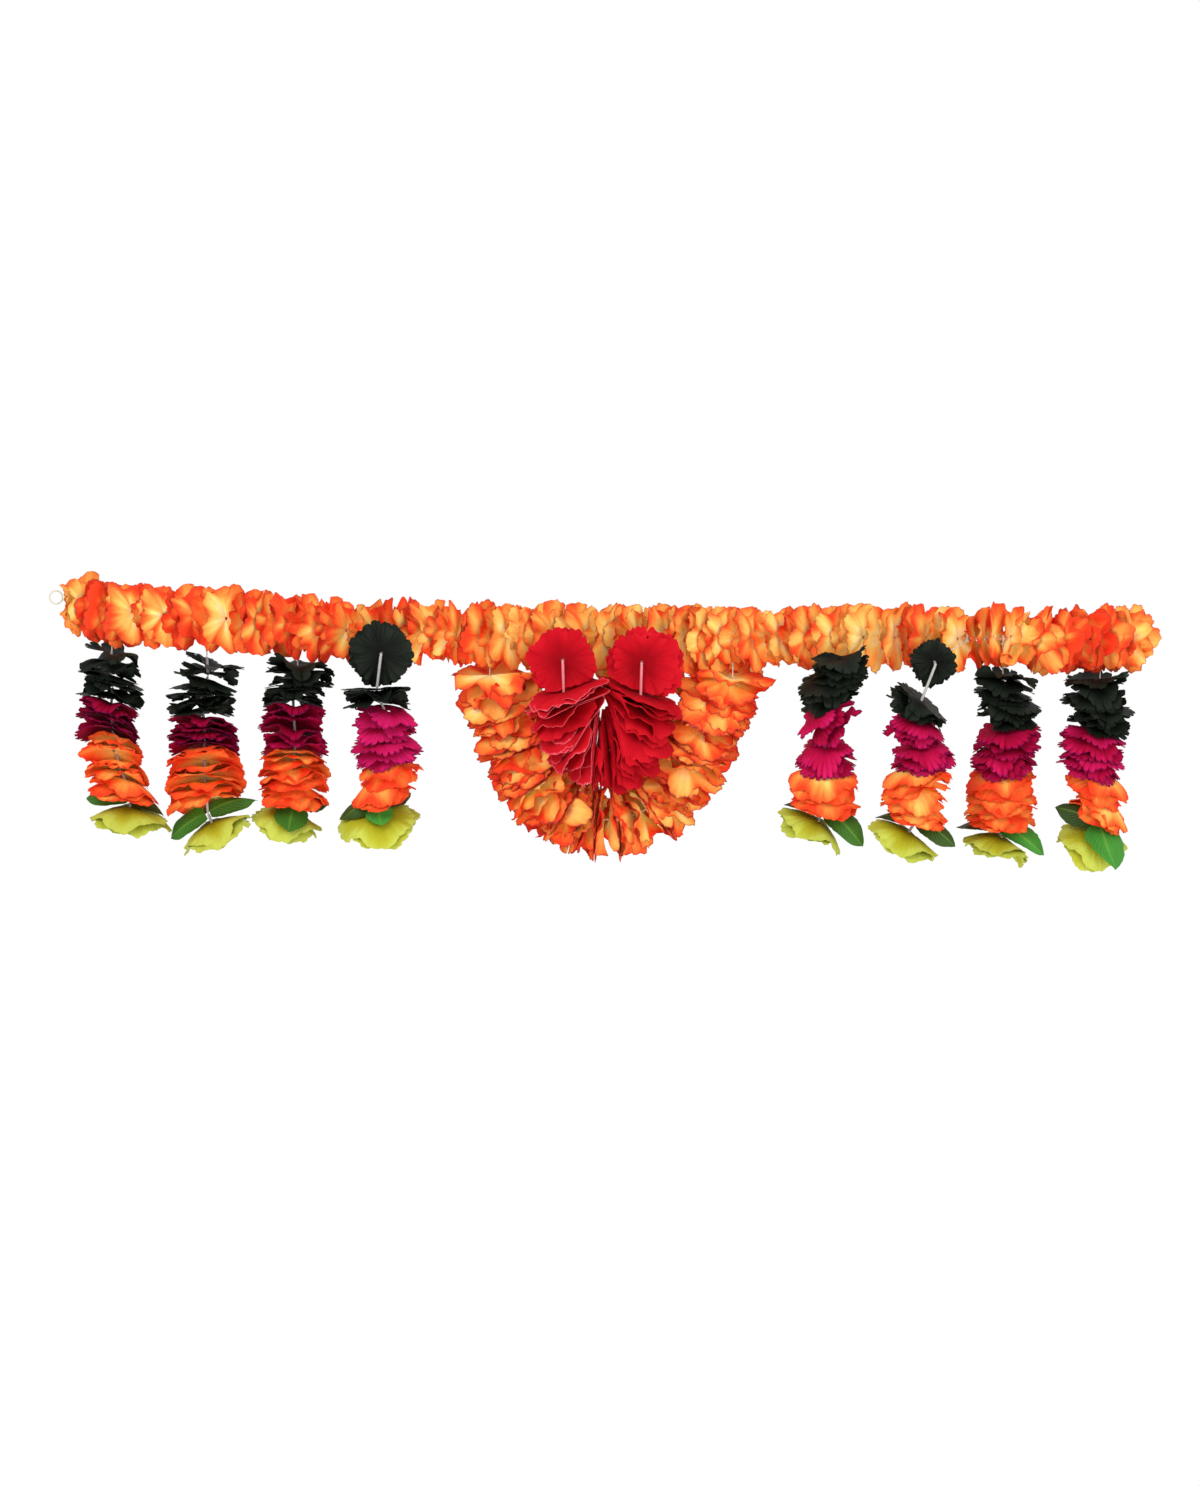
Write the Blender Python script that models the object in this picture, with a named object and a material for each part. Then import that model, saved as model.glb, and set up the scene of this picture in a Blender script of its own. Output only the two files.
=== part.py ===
"""A door garland: cloth flower discs threaded on string, with eight hanging strands and two centre swags.

The garland hangs from the loops at its two ends. The origin is midway between the loops.
X runs to the right along the garland, Y away from the viewer and Z up. All sizes are in metres.
"""

import math
import random
from collections import namedtuple

import bmesh
import bpy
from mathutils import Vector

MM = 0.001

# Cloth, spacer tubes and thread
CLOTH = 0.8 * MM
TUBE_RADIUS = 2.1 * MM
TUBE_SIDES = 5
BORE_RADIUS = 1.4 * MM
BORE_SIDES = 4
BORE_TURN = math.radians(25)
THREAD_RADIUS = 0.6 * MM
HUB_HALF = 0.8 * MM
END_GAP = 0.3 * MM
MOST_WIDENING = 1.5

# A flower disc has five lobes: ten points round its rim and five on the ring between hub and rim
LOBES = 5
WAVES = 3
MID_SHARE = 0.55
# Each disc is turned by up to MOST_TWIST degrees, and bent by a share of its ruffle between these two
MOST_TWIST = 12
BENDS = (0.4, 1.0)

# Clearances
SEPARATOR_MARGIN = 0.85 * MM
SEPARATOR_PASSES = 4
NEIGHBOURS = 3
TIE_MARGIN = 1.8 * MM
LINE_CLEARANCE = 37.5 * MM
LOWER_DISC_STEP = 4 * MM
TUBE_START = 36.5 * MM

# Ties round the line, knots and end loops
TIE_MAJOR = 3.3 * MM
TIE_MINOR = 0.7 * MM
KNOT_RADIUS = 1.7 * MM
END_KNOT_RADIUS = 2.6 * MM
TAIL = 5 * MM
LOOP_MAJOR = 6.0 * MM
LOOP_MINOR = 0.75 * MM

VIEWER = Vector((0, -1, 0))
RIGHT = Vector((1, 0, 0))

# centre: where the thread passes; normal: the disc's axis; cup: how far the rim is pushed along the
# normal; wave: height of the ruffle; notch: depth of the cuts between lobes as a share of the radius
Disc = namedtuple("Disc", "centre normal radius cup wave notch seed")
# leaves: (direction seen from above, length) of each leaf
Whorl = namedtuple("Whorl", "centre normal radius cup leaves")
Separator = namedtuple("Separator", "point axis cup reach margin")
# A place on a string's thread. side is square to it, and shapes start their turn round it there. Where
# it bends, tube and bore are widened to keep their width. form and number are None where it only bends
# or ends
Stop = namedtuple("Stop", "point direction side widening form number")


# Routes

def smooth_route(points, steps=12):
    """Points on one smooth curve through the given points."""
    ends = [points[0] * 2 - points[1]] + points + [points[-1] * 2 - points[-2]]
    route = []
    for before, start, end, after in zip(ends, ends[1:], ends[2:], ends[3:]):
        for step in range(steps):
            t = step / steps
            bend = (before * 2 - start * 5 + end * 4 - after) * t * t
            turn = (start * 3 - before - end * 3 + after) * t * t * t
            route.append((start * 2 + (end - before) * t + bend + turn) / 2)
    return route + [points[-1]]


def at_distance(route, distance):
    """(point, direction) at this distance along a route."""
    for start, end in zip(route, route[1:]):
        length = (end - start).length
        if distance <= length:
            break
        distance -= length
    direction = (end - start).normalized()
    return start + direction * distance, direction


def route_length(route):
    return sum((end - start).length for start, end in zip(route, route[1:]))


def millimetres(points):
    """Points from (x, z) pairs in the garland's plane, or from (x, y, z) triples."""
    return [Vector((point[0], point[1] if len(point) == 3 else 0, point[-1])) * MM for point in points]


def level_axis(roll, nod):
    """Axis of a disc that starts level: roll lifts its right side and nod lowers its front, in degrees."""
    roll, nod = math.radians(roll), math.radians(nod)
    return Vector((-math.sin(roll) * math.cos(nod), -math.sin(nod), math.cos(roll) * math.cos(nod)))


# The line

LINE = smooth_route(millimetres([
    (-499, 17), (-464, 7), (-408, 3), (-348, -1), (-279, -8), (-205, -13), (-107, -16),
    (0, -17.5), (130, -18), (291, -18.5), (400, -20), (462, -21), (499, -17),
]))
LINE_DISCS_FROM, LINE_DISCS_TO = -488, 492
# Where each strand or swag hangs: how far along the line, how far in front of it, and the turn of the
# gap between two discs through which its thread goes there from the line, in degrees
TIES = {
    "strand_1": (-453, 0, 42), "strand_2": (-365, 0, 44), "strand_3": (-281, 0, 34),
    "strand_4": (-201, 40, 34), "outer_left": (-103, 0, 38), "inner_left": (-35, 41, 34),
    "inner_right": (37, 41, 36), "outer_right": (122, 0, 40), "strand_5": (219, 36, 42),
    "strand_6": (305, 40, 40), "strand_7": (372, 0, 24), "strand_8": (462, 0, -38),
}
DISCS_BETWEEN_TIES = (2, 3, 3, 4, 3, 4, 3, 3, 5, 3, 1, 4, 2)
# How far each disc of the line turns its right face to the viewer, in degrees
LINE_YAWS = (
    42, 38, 46, 48, 44, 50, 34, 28, 32, 36, 30, 34, 36, 30, 38, 44, 36, 32, 34, 38,
    40, 36, 42, 38, 44, 40, 34, 38, 46, 50, 34, 46, 38, 26, -34, -34, -40, -36, -40, -48,
)
# Discs whose tops lean to the right by a set angle; the others lean a little at random
LEANING = {33: -8, 34: 24, 35: 10}
LINE_LEAN = 7
LINE_RADIUS = 34.5 * MM
# Least and most share of the radius, cup and ruffle of the line's discs
LINE_SIZES = (0.9, 1.0)
LINE_CUPS = (-5 * MM, 6 * MM)
LINE_RUFFLES = (3 * MM, 5 * MM)
LINE_NOTCH = 0.15
LINE_SEED = 100
LINE_GROUPS = (8, 8, 8, 8, 8)


def line_height(x):
    for start, end in zip(LINE, LINE[1:]):
        if x <= end.x:
            break
    return start.z + (end.z - start.z) * (x - start.x) / (end.x - start.x)


def line_point(x):
    return Vector((x, 0, line_height(x)))


def tie_point(name):
    """Where the thread of a strand or swag is tied round the line."""
    x, depth, yaw = TIES[name]
    return line_point((x + depth * math.tan(math.radians(yaw))) * MM)


def line_discs():
    draw = random.Random(LINE_SEED)
    edges = [LINE_DISCS_FROM * MM, *(tie_point(name).x for name in TIES), LINE_DISCS_TO * MM]
    discs = []
    for left, right, count in zip(edges, edges[1:], DISCS_BETWEEN_TIES):
        for place in range(count):
            number = len(discs)
            lean = math.radians(LEANING.get(number, draw.uniform(-LINE_LEAN, LINE_LEAN)))
            yaw = math.radians(LINE_YAWS[number])
            discs.append(Disc(
                centre=line_point(left + (right - left) * (place + 0.5) / count),
                normal=Vector((math.cos(yaw), -math.sin(yaw), -math.tan(lean))).normalized(),
                radius=LINE_RADIUS * draw.uniform(*LINE_SIZES),
                cup=draw.uniform(*LINE_CUPS),
                wave=draw.uniform(*LINE_RUFFLES),
                notch=LINE_NOTCH,
                seed=LINE_SEED + number,
            ))
    return discs


# Swags

OUTER_ROUTE = smooth_route(millimetres([
    (-103, -16), (-103, -38), (-101, -58), (-94, -79), (-85, -101), (-72, -135), (-52, -164), (-26, -181),
    (1, -187), (34, -181), (62, -161), (82, -132), (94, -103), (108, -78), (119, -58), (122, -40), (122, -18),
]))
OUTER_DISCS = 21
OUTER_FIRST = 44 * MM
OUTER_RADIUS = 38 * MM
OUTER_SIZES = (0.93, 1.04)
OUTER_CUPS = (-3 * MM, 4 * MM)
OUTER_RUFFLES = (2.5 * MM, 4 * MM)
OUTER_NOTCH = 0.15
# The discs turn by OUTER_TURN at both ends of the swag. Towards its middle the turn falls off, as a power
# of their distance from there
OUTER_TURN = 38
OUTER_TURN_POWER = 0.45
OUTER_TURN_SPREAD = 12
OUTER_SEED = 200
OUTER_GROUPS = (7, 7, 7)

# The first and the last disc of the inner swag face the viewer, and the others hang in front of them
INNER_ENDS = millimetres([(-35, -41, -40), (37, -41, -42)])
INNER_BENDS = millimetres([(-35, -49, -42), (37, -49, -44)])
INNER_ROUTE = smooth_route(millimetres([
    (-34, -49, -72), (-32, -48, -90), (-25, -47, -107), (-11, -46, -119), (4, -46, -123),
    (20, -46, -119), (32, -47, -106), (36, -48, -90), (36, -49, -73),
]))
INNER_FANNED = 11
INNER_END_RADIUS = 30 * MM
INNER_RADIUS = 35 * MM
INNER_SIZES = (0.95, 1.06)
INNER_CUPS = (1 * MM, 4 * MM)
INNER_RUFFLES = (2 * MM, 3.2 * MM)
INNER_NOTCH = 0.14
INNER_SEED = 300
INNER_END_TURN = 82
INNER_FIRST_TURN = 8
INNER_TURNS = (18, 32)
FAN_CENTRE = Vector((1, -48, -62)) * MM


def outer_discs():
    """Discs square to the swag's route, with their front edges turned down on both arms."""
    draw = random.Random(OUTER_SEED)
    pitch = (route_length(OUTER_ROUTE) - 2 * OUTER_FIRST) / (OUTER_DISCS - 1)
    discs = []
    for number in range(OUTER_DISCS):
        centre, direction = at_distance(OUTER_ROUTE, OUTER_FIRST + pitch * number)
        across = 1 - 2 * number / (OUTER_DISCS - 1)
        turned = math.copysign(OUTER_TURN * abs(across) ** OUTER_TURN_POWER, across)
        turn = math.radians(turned + draw.uniform(-OUTER_TURN_SPREAD, OUTER_TURN_SPREAD))
        discs.append(Disc(
            centre=centre,
            normal=direction * math.cos(turn) - VIEWER * math.sin(turn),
            radius=OUTER_RADIUS * draw.uniform(*OUTER_SIZES),
            cup=draw.uniform(*OUTER_CUPS),
            wave=draw.uniform(*OUTER_RUFFLES),
            notch=OUTER_NOTCH,
            seed=OUTER_SEED + number,
        ))
    return discs


def inner_disc(number, centre, direction, turn, radius, draw):
    """A disc that turns its lower face from the viewer: side is 1 on the left arm and -1 on the right."""
    side = 1 if centre.x < FAN_CENTRE.x else -1
    return Disc(
        centre=centre,
        normal=(direction * math.cos(turn) - VIEWER * math.sin(turn) * side).normalized(),
        radius=radius * draw.uniform(*INNER_SIZES),
        cup=draw.uniform(*INNER_CUPS) * side,
        wave=draw.uniform(*INNER_RUFFLES),
        notch=INNER_NOTCH,
        seed=INNER_SEED + number,
    )


def inner_discs():
    """Discs that fan round one centre, between two that face the viewer."""
    draw = random.Random(INNER_SEED)
    end_turn = math.radians(INNER_END_TURN)
    discs = [inner_disc(0, INNER_ENDS[0], Vector((0, 0, -1)), end_turn, INNER_END_RADIUS, draw)]
    pitch = route_length(INNER_ROUTE) / (INNER_FANNED - 1)
    for number in range(INNER_FANNED):
        centre, direction = at_distance(INNER_ROUTE, pitch * number)
        inward = (FAN_CENTRE - centre).normalized()
        fanned = (direction - inward * direction.dot(inward)).normalized()
        turn = draw.uniform(*INNER_TURNS) if 0 < number < INNER_FANNED - 1 else INNER_FIRST_TURN
        discs.append(inner_disc(number + 1, centre, fanned, math.radians(turn), INNER_RADIUS, draw))
    upwards = Vector((0, 0, 1))
    discs.append(inner_disc(INNER_FANNED + 1, INNER_ENDS[1], upwards, end_turn, INNER_END_RADIUS, draw))
    return discs


# Strands

# Each form is (x, y, z of its centre in millimetres, roll, nod in degrees, radius in millimetres)
STRANDS = {
    "strand_1": {
        "dark": [(-455, 0, -44, -14, 6, 30), (-452, 0, -64, -16, 2, 31)],
        "magenta": [(-454, 0, -84, -18, -10, 31), (-452, 0, -101, -17, -24, 32)],
        "orange": [(-450, 0, -120, -14, -40, 30), (-446, 0, -138, -14, -14, 32), (-439, 0, -154, -16, 4, 35)],
        "leaves": [(-436, 0, -168, -10, 4, 38)],
        "lime": [(-436, 0, -176, -4, 14, 39)],
    },
    "strand_2": {
        "dark": [(-364, 0, -54, -16, 8, 32), (-371, 0, -77, 3, 4, 33)],
        "magenta": [(-367, 0, -97, -3, -6, 34), (-367, 0, -112, 0, -16, 35)],
        "orange": [(-367, 0, -129, 2, -28, 37), (-367, 0, -145, 2, -26, 39), (-366, 0, -159, 3, -16, 38)],
        "leaves": [(-364, 0, -181, 32, 16, 44)],
        "lime": [(-360, 0, -191, 24, 14, 37)],
    },
    "strand_3": {
        "dark": [(-279, 0, -53, 3, 8, 34), (-285, 0, -70, 0, -4, 31)],
        "magenta": [(-285, 0, -89, -4, -22, 33), (-283, 0, -110, -8, -6, 33)],
        "orange": [(-284, 0, -129, 0, -14, 33), (-284, 0, -145, -2, -10, 34), (-282, 0, -159, -7, 4, 34)],
        "leaves": [(-284, 0, -170, -5, 20, 33)],
        "lime": [(-290, 0, -181, -14, 22, 35)],
    },
    "strand_4": {
        "dark": [(-201, -40, -34, 0, 85, 31), (-205, -46, -70, 2, -2, 33)],
        "magenta": [(-195, -46, -92, -14, 20, 32), (-197, -46, -117, 10, 24, 33)],
        "orange": [(-195, -46, -136, 14, 26, 30), (-203, -46, -155, 18, 20, 33)],
        "leaves": [(-204, -46, -170, 8, 22, 42)],
        "lime": [(-204, -46, -180, 2, 34, 40)],
    },
    "strand_5": {
        "dark": [(219, -36, -46, 6, 24, 29), (210, -36, -64, 8, 28, 32)],
        "magenta": [(204, -36, -93, 50, 8, 31), (205, -36, -125, 4, 36, 31)],
        "orange": [(203, -36, -147, -2, 26, 35), (205, -36, -165, -6, 18, 34)],
        "leaves": [(205, -36, -176, -16, 14, 38)],
        "lime": [(198, -36, -188, -34, 16, 35)],
    },
    "strand_6": {
        "dark": [(305, -40, -42, -10, 72, 23), (291, -48, -80, -38, 14, 31)],
        "magenta": [(290, -48, -101, -24, 20, 28), (292, -48, -123, 18, 20, 32)],
        "orange": [(287, -48, -143, 5, 14, 34), (286, -48, -160, -2, 22, 32), (289, -48, -175, -9, 18, 31)],
        "leaves": [(288, -48, -186, -14, 10, 38)],
        "lime": [(280, -48, -198, -32, 14, 37)],
    },
    "strand_7": {
        "dark": [(373, 0, -62, -8, 22, 31), (378, 0, -82, -14, 20, 31)],
        "magenta": [(376, 0, -109, 12, 20, 34), (372, 0, -127, 7, 18, 32)],
        "orange": [(371, 0, -146, 4, 24, 35), (370, 0, -164, 2, 18, 35), (369, 0, -180, 8, 16, 33)],
        "leaves": [(369, 0, -192, -14, 12, 40)],
        "lime": [(370, 0, -204, -18, 14, 33)],
    },
    "strand_8": {
        "dark": [(457, 0, -66, -3, 20, 32), (464, 0, -89, -10, 20, 32)],
        "magenta": [(457, 0, -110, -8, 24, 33), (455, 0, -129, -14, 20, 33)],
        "orange": [(463, 0, -150, -28, 22, 32), (467, 0, -174, -38, 16, 31)],
        "leaves": [(460, 0, -189, -24, 28, 40)],
        "lime": [(458, 0, -201, -12, 34, 36)],
    },
}
# (cup, ruffle, notch) of each colour's discs, whose rims hang below their centres
STRAND_FORMS = {
    "dark": (4 * MM, 4.0 * MM, 0.16),
    "magenta": (8 * MM, 3.5 * MM, 0.12),
    "orange": (11 * MM, 3.5 * MM, 0.10),
    "lime": (11 * MM, 4.0 * MM, 0.09),
}
STRAND_SEED = 400
SEEDS_PER_STRAND = 20
# Each leaf's direction seen from above, in degrees from the right, and its share of the whorl's radius
LEAVES = {
    "strand_1": ((185, 1.0), (350, 0.95), (80, 0.8)),
    "strand_2": ((182, 1.0), (0, 1.0), (95, 0.75)),
    "strand_3": ((160, 0.95), (268, 0.9), (15, 1.0)),
    "strand_4": ((192, 1.0), (272, 0.55), (35, 0.9)),
    "strand_5": ((180, 0.95), (325, 1.0), (75, 0.8)),
    "strand_6": ((178, 1.0), (335, 0.9), (80, 0.75)),
    "strand_7": ((182, 1.0), (335, 1.0), (85, 0.7)),
    "strand_8": ((170, 1.0), (300, 1.0), (50, 0.8)),
}
LEAF_DROOP = 7 * MM
LEAF_HALF_ANGLE = math.radians(22)
LEAF_SIDE = 0.5
LEAF_MIDRIB_DROOP = 0.3
LEAF_NOTCH = 6.5 * MM
LEAF_ROOT = 4.5 * MM
# Where a thread turns down, in front of the hole of a first disc that faces the viewer
FRONT_BENDS = {
    "strand_4": Vector((-201, -47, -36)) * MM,
    "strand_6": Vector((305, -47, -45)) * MM,
}


def strand_forms(name):
    """(colour, form) of each disc and of the leaf whorl, from the top down."""
    forms = []
    for colour, rows in STRANDS[name].items():
        for x, y, z, roll, nod, radius in rows:
            centre = Vector((x, y, z)) * MM
            axis = -level_axis(roll, nod)
            seed = STRAND_SEED + SEEDS_PER_STRAND * list(STRANDS).index(name) + len(forms)
            if colour == "leaves":
                leaves = [(math.radians(angle), radius * MM * share) for angle, share in LEAVES[name]]
                forms.append((colour, Whorl(centre, axis, radius * MM, LEAF_DROOP, leaves)))
            else:
                forms.append((colour, Disc(centre, axis, radius * MM, *STRAND_FORMS[colour], seed)))
    return forms


# Separators: each form stays on its own side of the sheets between it and its neighbours

def separators_of(forms, bends, ties=()):
    """A slightly cupped sheet between each two neighbours. It is flat, and turned as TIES says, where a
    strand is tied on. It lies along the lower disc where the other one faces the viewer and the thread
    bends between them."""
    found = []
    for number, (first, second) in enumerate(zip(forms, forms[1:])):
        tie = next((name for name in ties if first.centre.x < tie_point(name).x < second.centre.x), None)
        if tie is not None:
            yaw = math.radians(TIES[tie][-1])
            axis = Vector((math.cos(yaw), -math.sin(yaw), 0))
            found.append(Separator(tie_point(tie), axis, 0, LINE_RADIUS, TIE_MARGIN))
        elif number in bends:
            upper_first = first.centre.z > second.centre.z
            lower = second if upper_first else first
            point = lower.centre - lower.normal * (LOWER_DISC_STEP if upper_first else -LOWER_DISC_STEP)
            found.append(Separator(point, lower.normal, 0, lower.radius, SEPARATOR_MARGIN))
        else:
            middle = (first.centre + second.centre) / 2
            axis = (first.normal + second.normal).normalized()
            cup = (first.cup + second.cup) / 2
            found.append(Separator(middle, axis, cup, first.radius, SEPARATOR_MARGIN))
    return found


def beside(point, separator, before):
    """The point moved along the separator's axis to the side before or after it, if it isn't there."""
    offset = point - separator.point
    height = offset.dot(separator.axis)
    spread = (offset - separator.axis * height).length
    limit = separator.cup * (spread / separator.reach) ** 2
    if before:
        return point - separator.axis * max(0, height - limit + separator.margin)
    return point + separator.axis * max(0, limit + separator.margin - height)


def clear_of_line(point):
    """The point pushed straight out of the round space that the line's discs fill."""
    if not LINE[0].x < point.x < LINE[-1].x:
        return point
    outward = point - line_point(point.x)
    return point + outward.normalized() * max(0, LINE_CLEARANCE - outward.length)


def kept_apart(point, number, separators, on_line):
    """The point of form number, clear of its neighbours on the string and of the line's discs."""
    for _ in range(SEPARATOR_PASSES):
        for place in range(max(0, number - NEIGHBOURS), min(len(separators), number + NEIGHBOURS)):
            point = beside(point, separators[place], before=place >= number)
        if not on_line:
            point = clear_of_line(point)
    return point


# Middle surfaces, as a ring between hub and rim and a ring at the rim

def plane_axes(normal, hub_side):
    """Two axes square to normal, the first nearest to hub_side."""
    across = (hub_side - normal * hub_side.dot(normal)).normalized()
    return across, normal.cross(across)


def disc_rings(disc, hub_side):
    draw = random.Random(disc.seed)
    twist = math.radians(draw.uniform(-MOST_TWIST, MOST_TWIST))
    bend = draw.uniform(*BENDS) * disc.wave
    bend_turn = draw.uniform(0, math.pi)
    across, along = plane_axes(disc.normal, hub_side)

    def surface(step, steps, share):
        angle = math.tau * step / steps
        notch = disc.notch * share * (0.5 - 0.5 * math.cos(LOBES * angle))
        ruffle = disc.wave * math.cos(WAVES * angle) + bend * math.cos(2 * angle - bend_turn)
        flat = across * math.cos(angle + twist) + along * math.sin(angle + twist)
        height = (disc.cup + ruffle) * share * share
        return disc.centre + flat * disc.radius * share * (1 - notch) + disc.normal * height

    middle = [surface(step, LOBES, MID_SHARE) for step in range(LOBES)]
    rim = [surface(step, 2 * LOBES, 1) for step in range(2 * LOBES)]
    return middle, rim


def whorl_rings(whorl, hub_side):
    """Pointed leaves: a midrib point and a root between leaves, then tip, side, notch and next side."""
    across, along = plane_axes(whorl.normal, hub_side)

    def turn_of(angle):
        level = Vector((math.cos(angle), math.sin(angle), 0))
        return math.atan2(level.dot(along), level.dot(across))

    def surface(turn, reach, share):
        flat = across * math.cos(turn) + along * math.sin(turn)
        return whorl.centre + flat * reach + whorl.normal * whorl.cup * share * share

    first = turn_of(whorl.leaves[0][0])
    leaves = sorted(((turn_of(angle) - first) % math.tau + first, length) for angle, length in whorl.leaves)
    following = leaves[1:] + [(leaves[0][0] + math.tau, leaves[0][1])]
    middle, rim = [], []
    for (turn, length), (next_turn, next_length) in zip(leaves, following):
        notch = (turn + next_turn) / 2
        middle.append(surface(turn, length * LEAF_SIDE, LEAF_MIDRIB_DROOP))
        middle.append(surface(notch, LEAF_ROOT, 0))
        rim.append(surface(turn, length, 1))
        rim.append(surface(turn + LEAF_HALF_ANGLE, length * LEAF_SIDE, LEAF_SIDE))
        rim.append(surface(notch, LEAF_NOTCH, 0))
        rim.append(surface(next_turn - LEAF_HALF_ANGLE, next_length * LEAF_SIDE, LEAF_SIDE))
    return middle, rim


# Lofts

def bridge(inner_count, outer_count):
    """Triangles between two rings, each corner as (whether it is on the outer ring, its place)."""
    inner = outer = 0
    triangles = []
    while inner < inner_count or outer < outer_count:
        here = (False, inner % inner_count), (True, outer % outer_count)
        if (inner + 1) * outer_count <= (outer + 1) * inner_count:
            inner += 1
            triangles.append((*here, (False, inner % inner_count)))
        else:
            outer += 1
            triangles.append((*here, (True, outer % outer_count)))
    return triangles


def sheet_normals(rings, normal):
    """Unit normals at a sheet's points, on the side of normal, from the triangles round each point."""
    sums = [[Vector() for _ in ring] for ring in rings]
    for place, (inner, outer) in enumerate(zip(rings, rings[1:])):
        for triangle in bridge(len(inner), len(outer)):
            corners = [(place + on_outer, step) for on_outer, step in triangle]
            a, b, c = (rings[ring][step] for ring, step in corners)
            face = (b - a).cross(c - a)
            if face.dot(normal) < 0:
                face = -face
            for ring, step in corners:
                sums[ring][step] += face
    return [[total.normalized() for total in ring] for ring in sums]


def ring_round(stop, radius, sides, twist):
    across, along = plane_axes(stop.direction, stop.side)
    turns = [twist + math.tau * step / sides for step in range(sides)]
    reach = radius * stop.widening
    return [stop.point + (across * math.cos(turn) + along * math.sin(turn)) * reach for turn in turns]


def tube_twist(stops):
    """The turn that lines a tube's corners up with the first leaf of a whorl, or 0."""
    for stop in stops:
        if isinstance(stop.form, Whorl):
            across, along = plane_axes(stop.direction, stop.side)
            angle = stop.form.leaves[0][0]
            level = Vector((math.cos(angle), math.sin(angle), 0))
            return math.atan2(level.dot(along), level.dot(across))
    return 0


def form_rings(stop, hub, separators, on_line):
    """The back and front rings of one form with its hub, in order along the thread."""
    form = stop.form
    if form.normal.dot(stop.direction) < 0:
        form = form._replace(normal=-form.normal, cup=-form.cup)
    rings_of = disc_rings if isinstance(form, Disc) else whorl_rings
    free = rings_of(form, (hub[0] - stop.point).normalized())
    sheet = [[kept_apart(point, stop.number, separators, on_line) for point in ring] for ring in free]
    normals = sheet_normals([hub, *sheet], form.normal)[1:]

    def moved(along_hub, along_normal):
        rings = [[point + stop.direction * along_hub for point in hub]]
        for ring, ring_normals in zip(sheet, normals):
            rings.append([point + normal * along_normal for point, normal in zip(ring, ring_normals)])
        return rings

    return moved(-HUB_HALF, -CLOTH / 2) + moved(HUB_HALF, CLOTH / 2)[::-1]


def group_rings(stops, separators, on_line):
    """The rings of a group's outside and of its bore."""
    outside, bore = [], []
    twist = tube_twist(stops)
    for stop in stops:
        hub = ring_round(stop, TUBE_RADIUS, TUBE_SIDES, twist)
        bore.append(ring_round(stop, BORE_RADIUS, BORE_SIDES, twist + BORE_TURN))
        if stop.form is None:
            outside.append(hub)
        else:
            outside += form_rings(stop, hub, separators, on_line)
    return outside, bore


def ring_width(ring):
    return (ring[0].co - ring[len(ring) // 2].co).length


def join_rings(mesh, first, second):
    """Joins two rings with triangles that run alike on both faces of a cloth."""
    inner, outer = sorted((first, second), key=lambda ring: (len(ring), ring_width(ring)))
    for triangle in bridge(len(inner), len(outer)):
        mesh.faces.new([(outer if on_outer else inner)[step] for on_outer, step in triangle])


def add_surface(mesh, rings):
    """Joins each ring to the next with triangles, and returns the first and the last ring's corners."""
    corners = [[mesh.verts.new(point) for point in ring] for ring in rings]
    for first, second in zip(corners, corners[1:]):
        join_rings(mesh, first, second)
    return corners[0], corners[-1]


def group_object(name, outside, bore, material):
    """One closed body: discs or leaves on their spacer tubes, with the bore for the thread."""
    mesh = bmesh.new()
    ends = zip(add_surface(mesh, bore), add_surface(mesh, outside))
    for bore_end, outside_end in ends:
        join_rings(mesh, bore_end, outside_end)
    bmesh.ops.recalc_face_normals(mesh, faces=mesh.faces)
    data = bpy.data.meshes.new(name)
    mesh.to_mesh(data)
    mesh.free()
    data.materials.append(material)
    made = bpy.data.objects.new(name, data)
    garland.objects.link(made)
    return made


# Strings

def with_sides(stops):
    """The stops with a side each, square to the string. It faces the viewer at the middle stop and is
    carried along both ways from there, so that the string isn't twisted where it bends."""
    middle = len(stops) // 2
    sides = {middle: plane_axes(stops[middle].direction, VIEWER)[0]}
    for place in [*range(middle + 1, len(stops)), *range(middle - 1, -1, -1)]:
        nearer = place - 1 if place > middle else place + 1
        sides[place] = plane_axes(stops[place].direction, sides[nearer])[0]
    return [stop._replace(side=sides[place]) for place, stop in enumerate(stops)]


def string_stops(start, forms, end, bends):
    """The stops of a string: its start, each form, the bends after the forms of these numbers, its end."""
    places = [(start, None, None)]
    for number, form in enumerate(forms):
        places.append((form.centre, form, number))
        if number in bends:
            places.append((bends[number], None, None))
    places.append((end, None, None))
    stops = []
    for before, (point, form, number), after in zip([places[0]] + places, places, places[1:] + [places[-1]]):
        into, out = (point - before[0]).normalized(), (after[0] - point).normalized()
        direction = into + out
        widening = min(MOST_WIDENING, 2 / direction.length) if into.length and out.length else 1
        stops.append(Stop(point, direction.normalized(), VIEWER, widening, form, number))
    return with_sides(stops)


def split_stops(stops, sizes):
    """The stops of each group in turn, parted half way between two forms with a gap between the tubes."""
    groups = []
    for size in sizes[:-1]:
        with_forms = [place for place, stop in enumerate(stops) if stop.form]
        after = with_forms[size]
        start, end = stops[after - 1].point, stops[after].point
        direction = (end - start).normalized()
        middle = (start + end) / 2
        parting = Stop(middle, direction, stops[after].side, 1, None, None)
        groups.append(stops[:after] + [parting._replace(point=middle - direction * END_GAP / 2)])
        stops = [parting._replace(point=middle + direction * END_GAP / 2)] + stops[after:]
    return groups + [stops]


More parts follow.
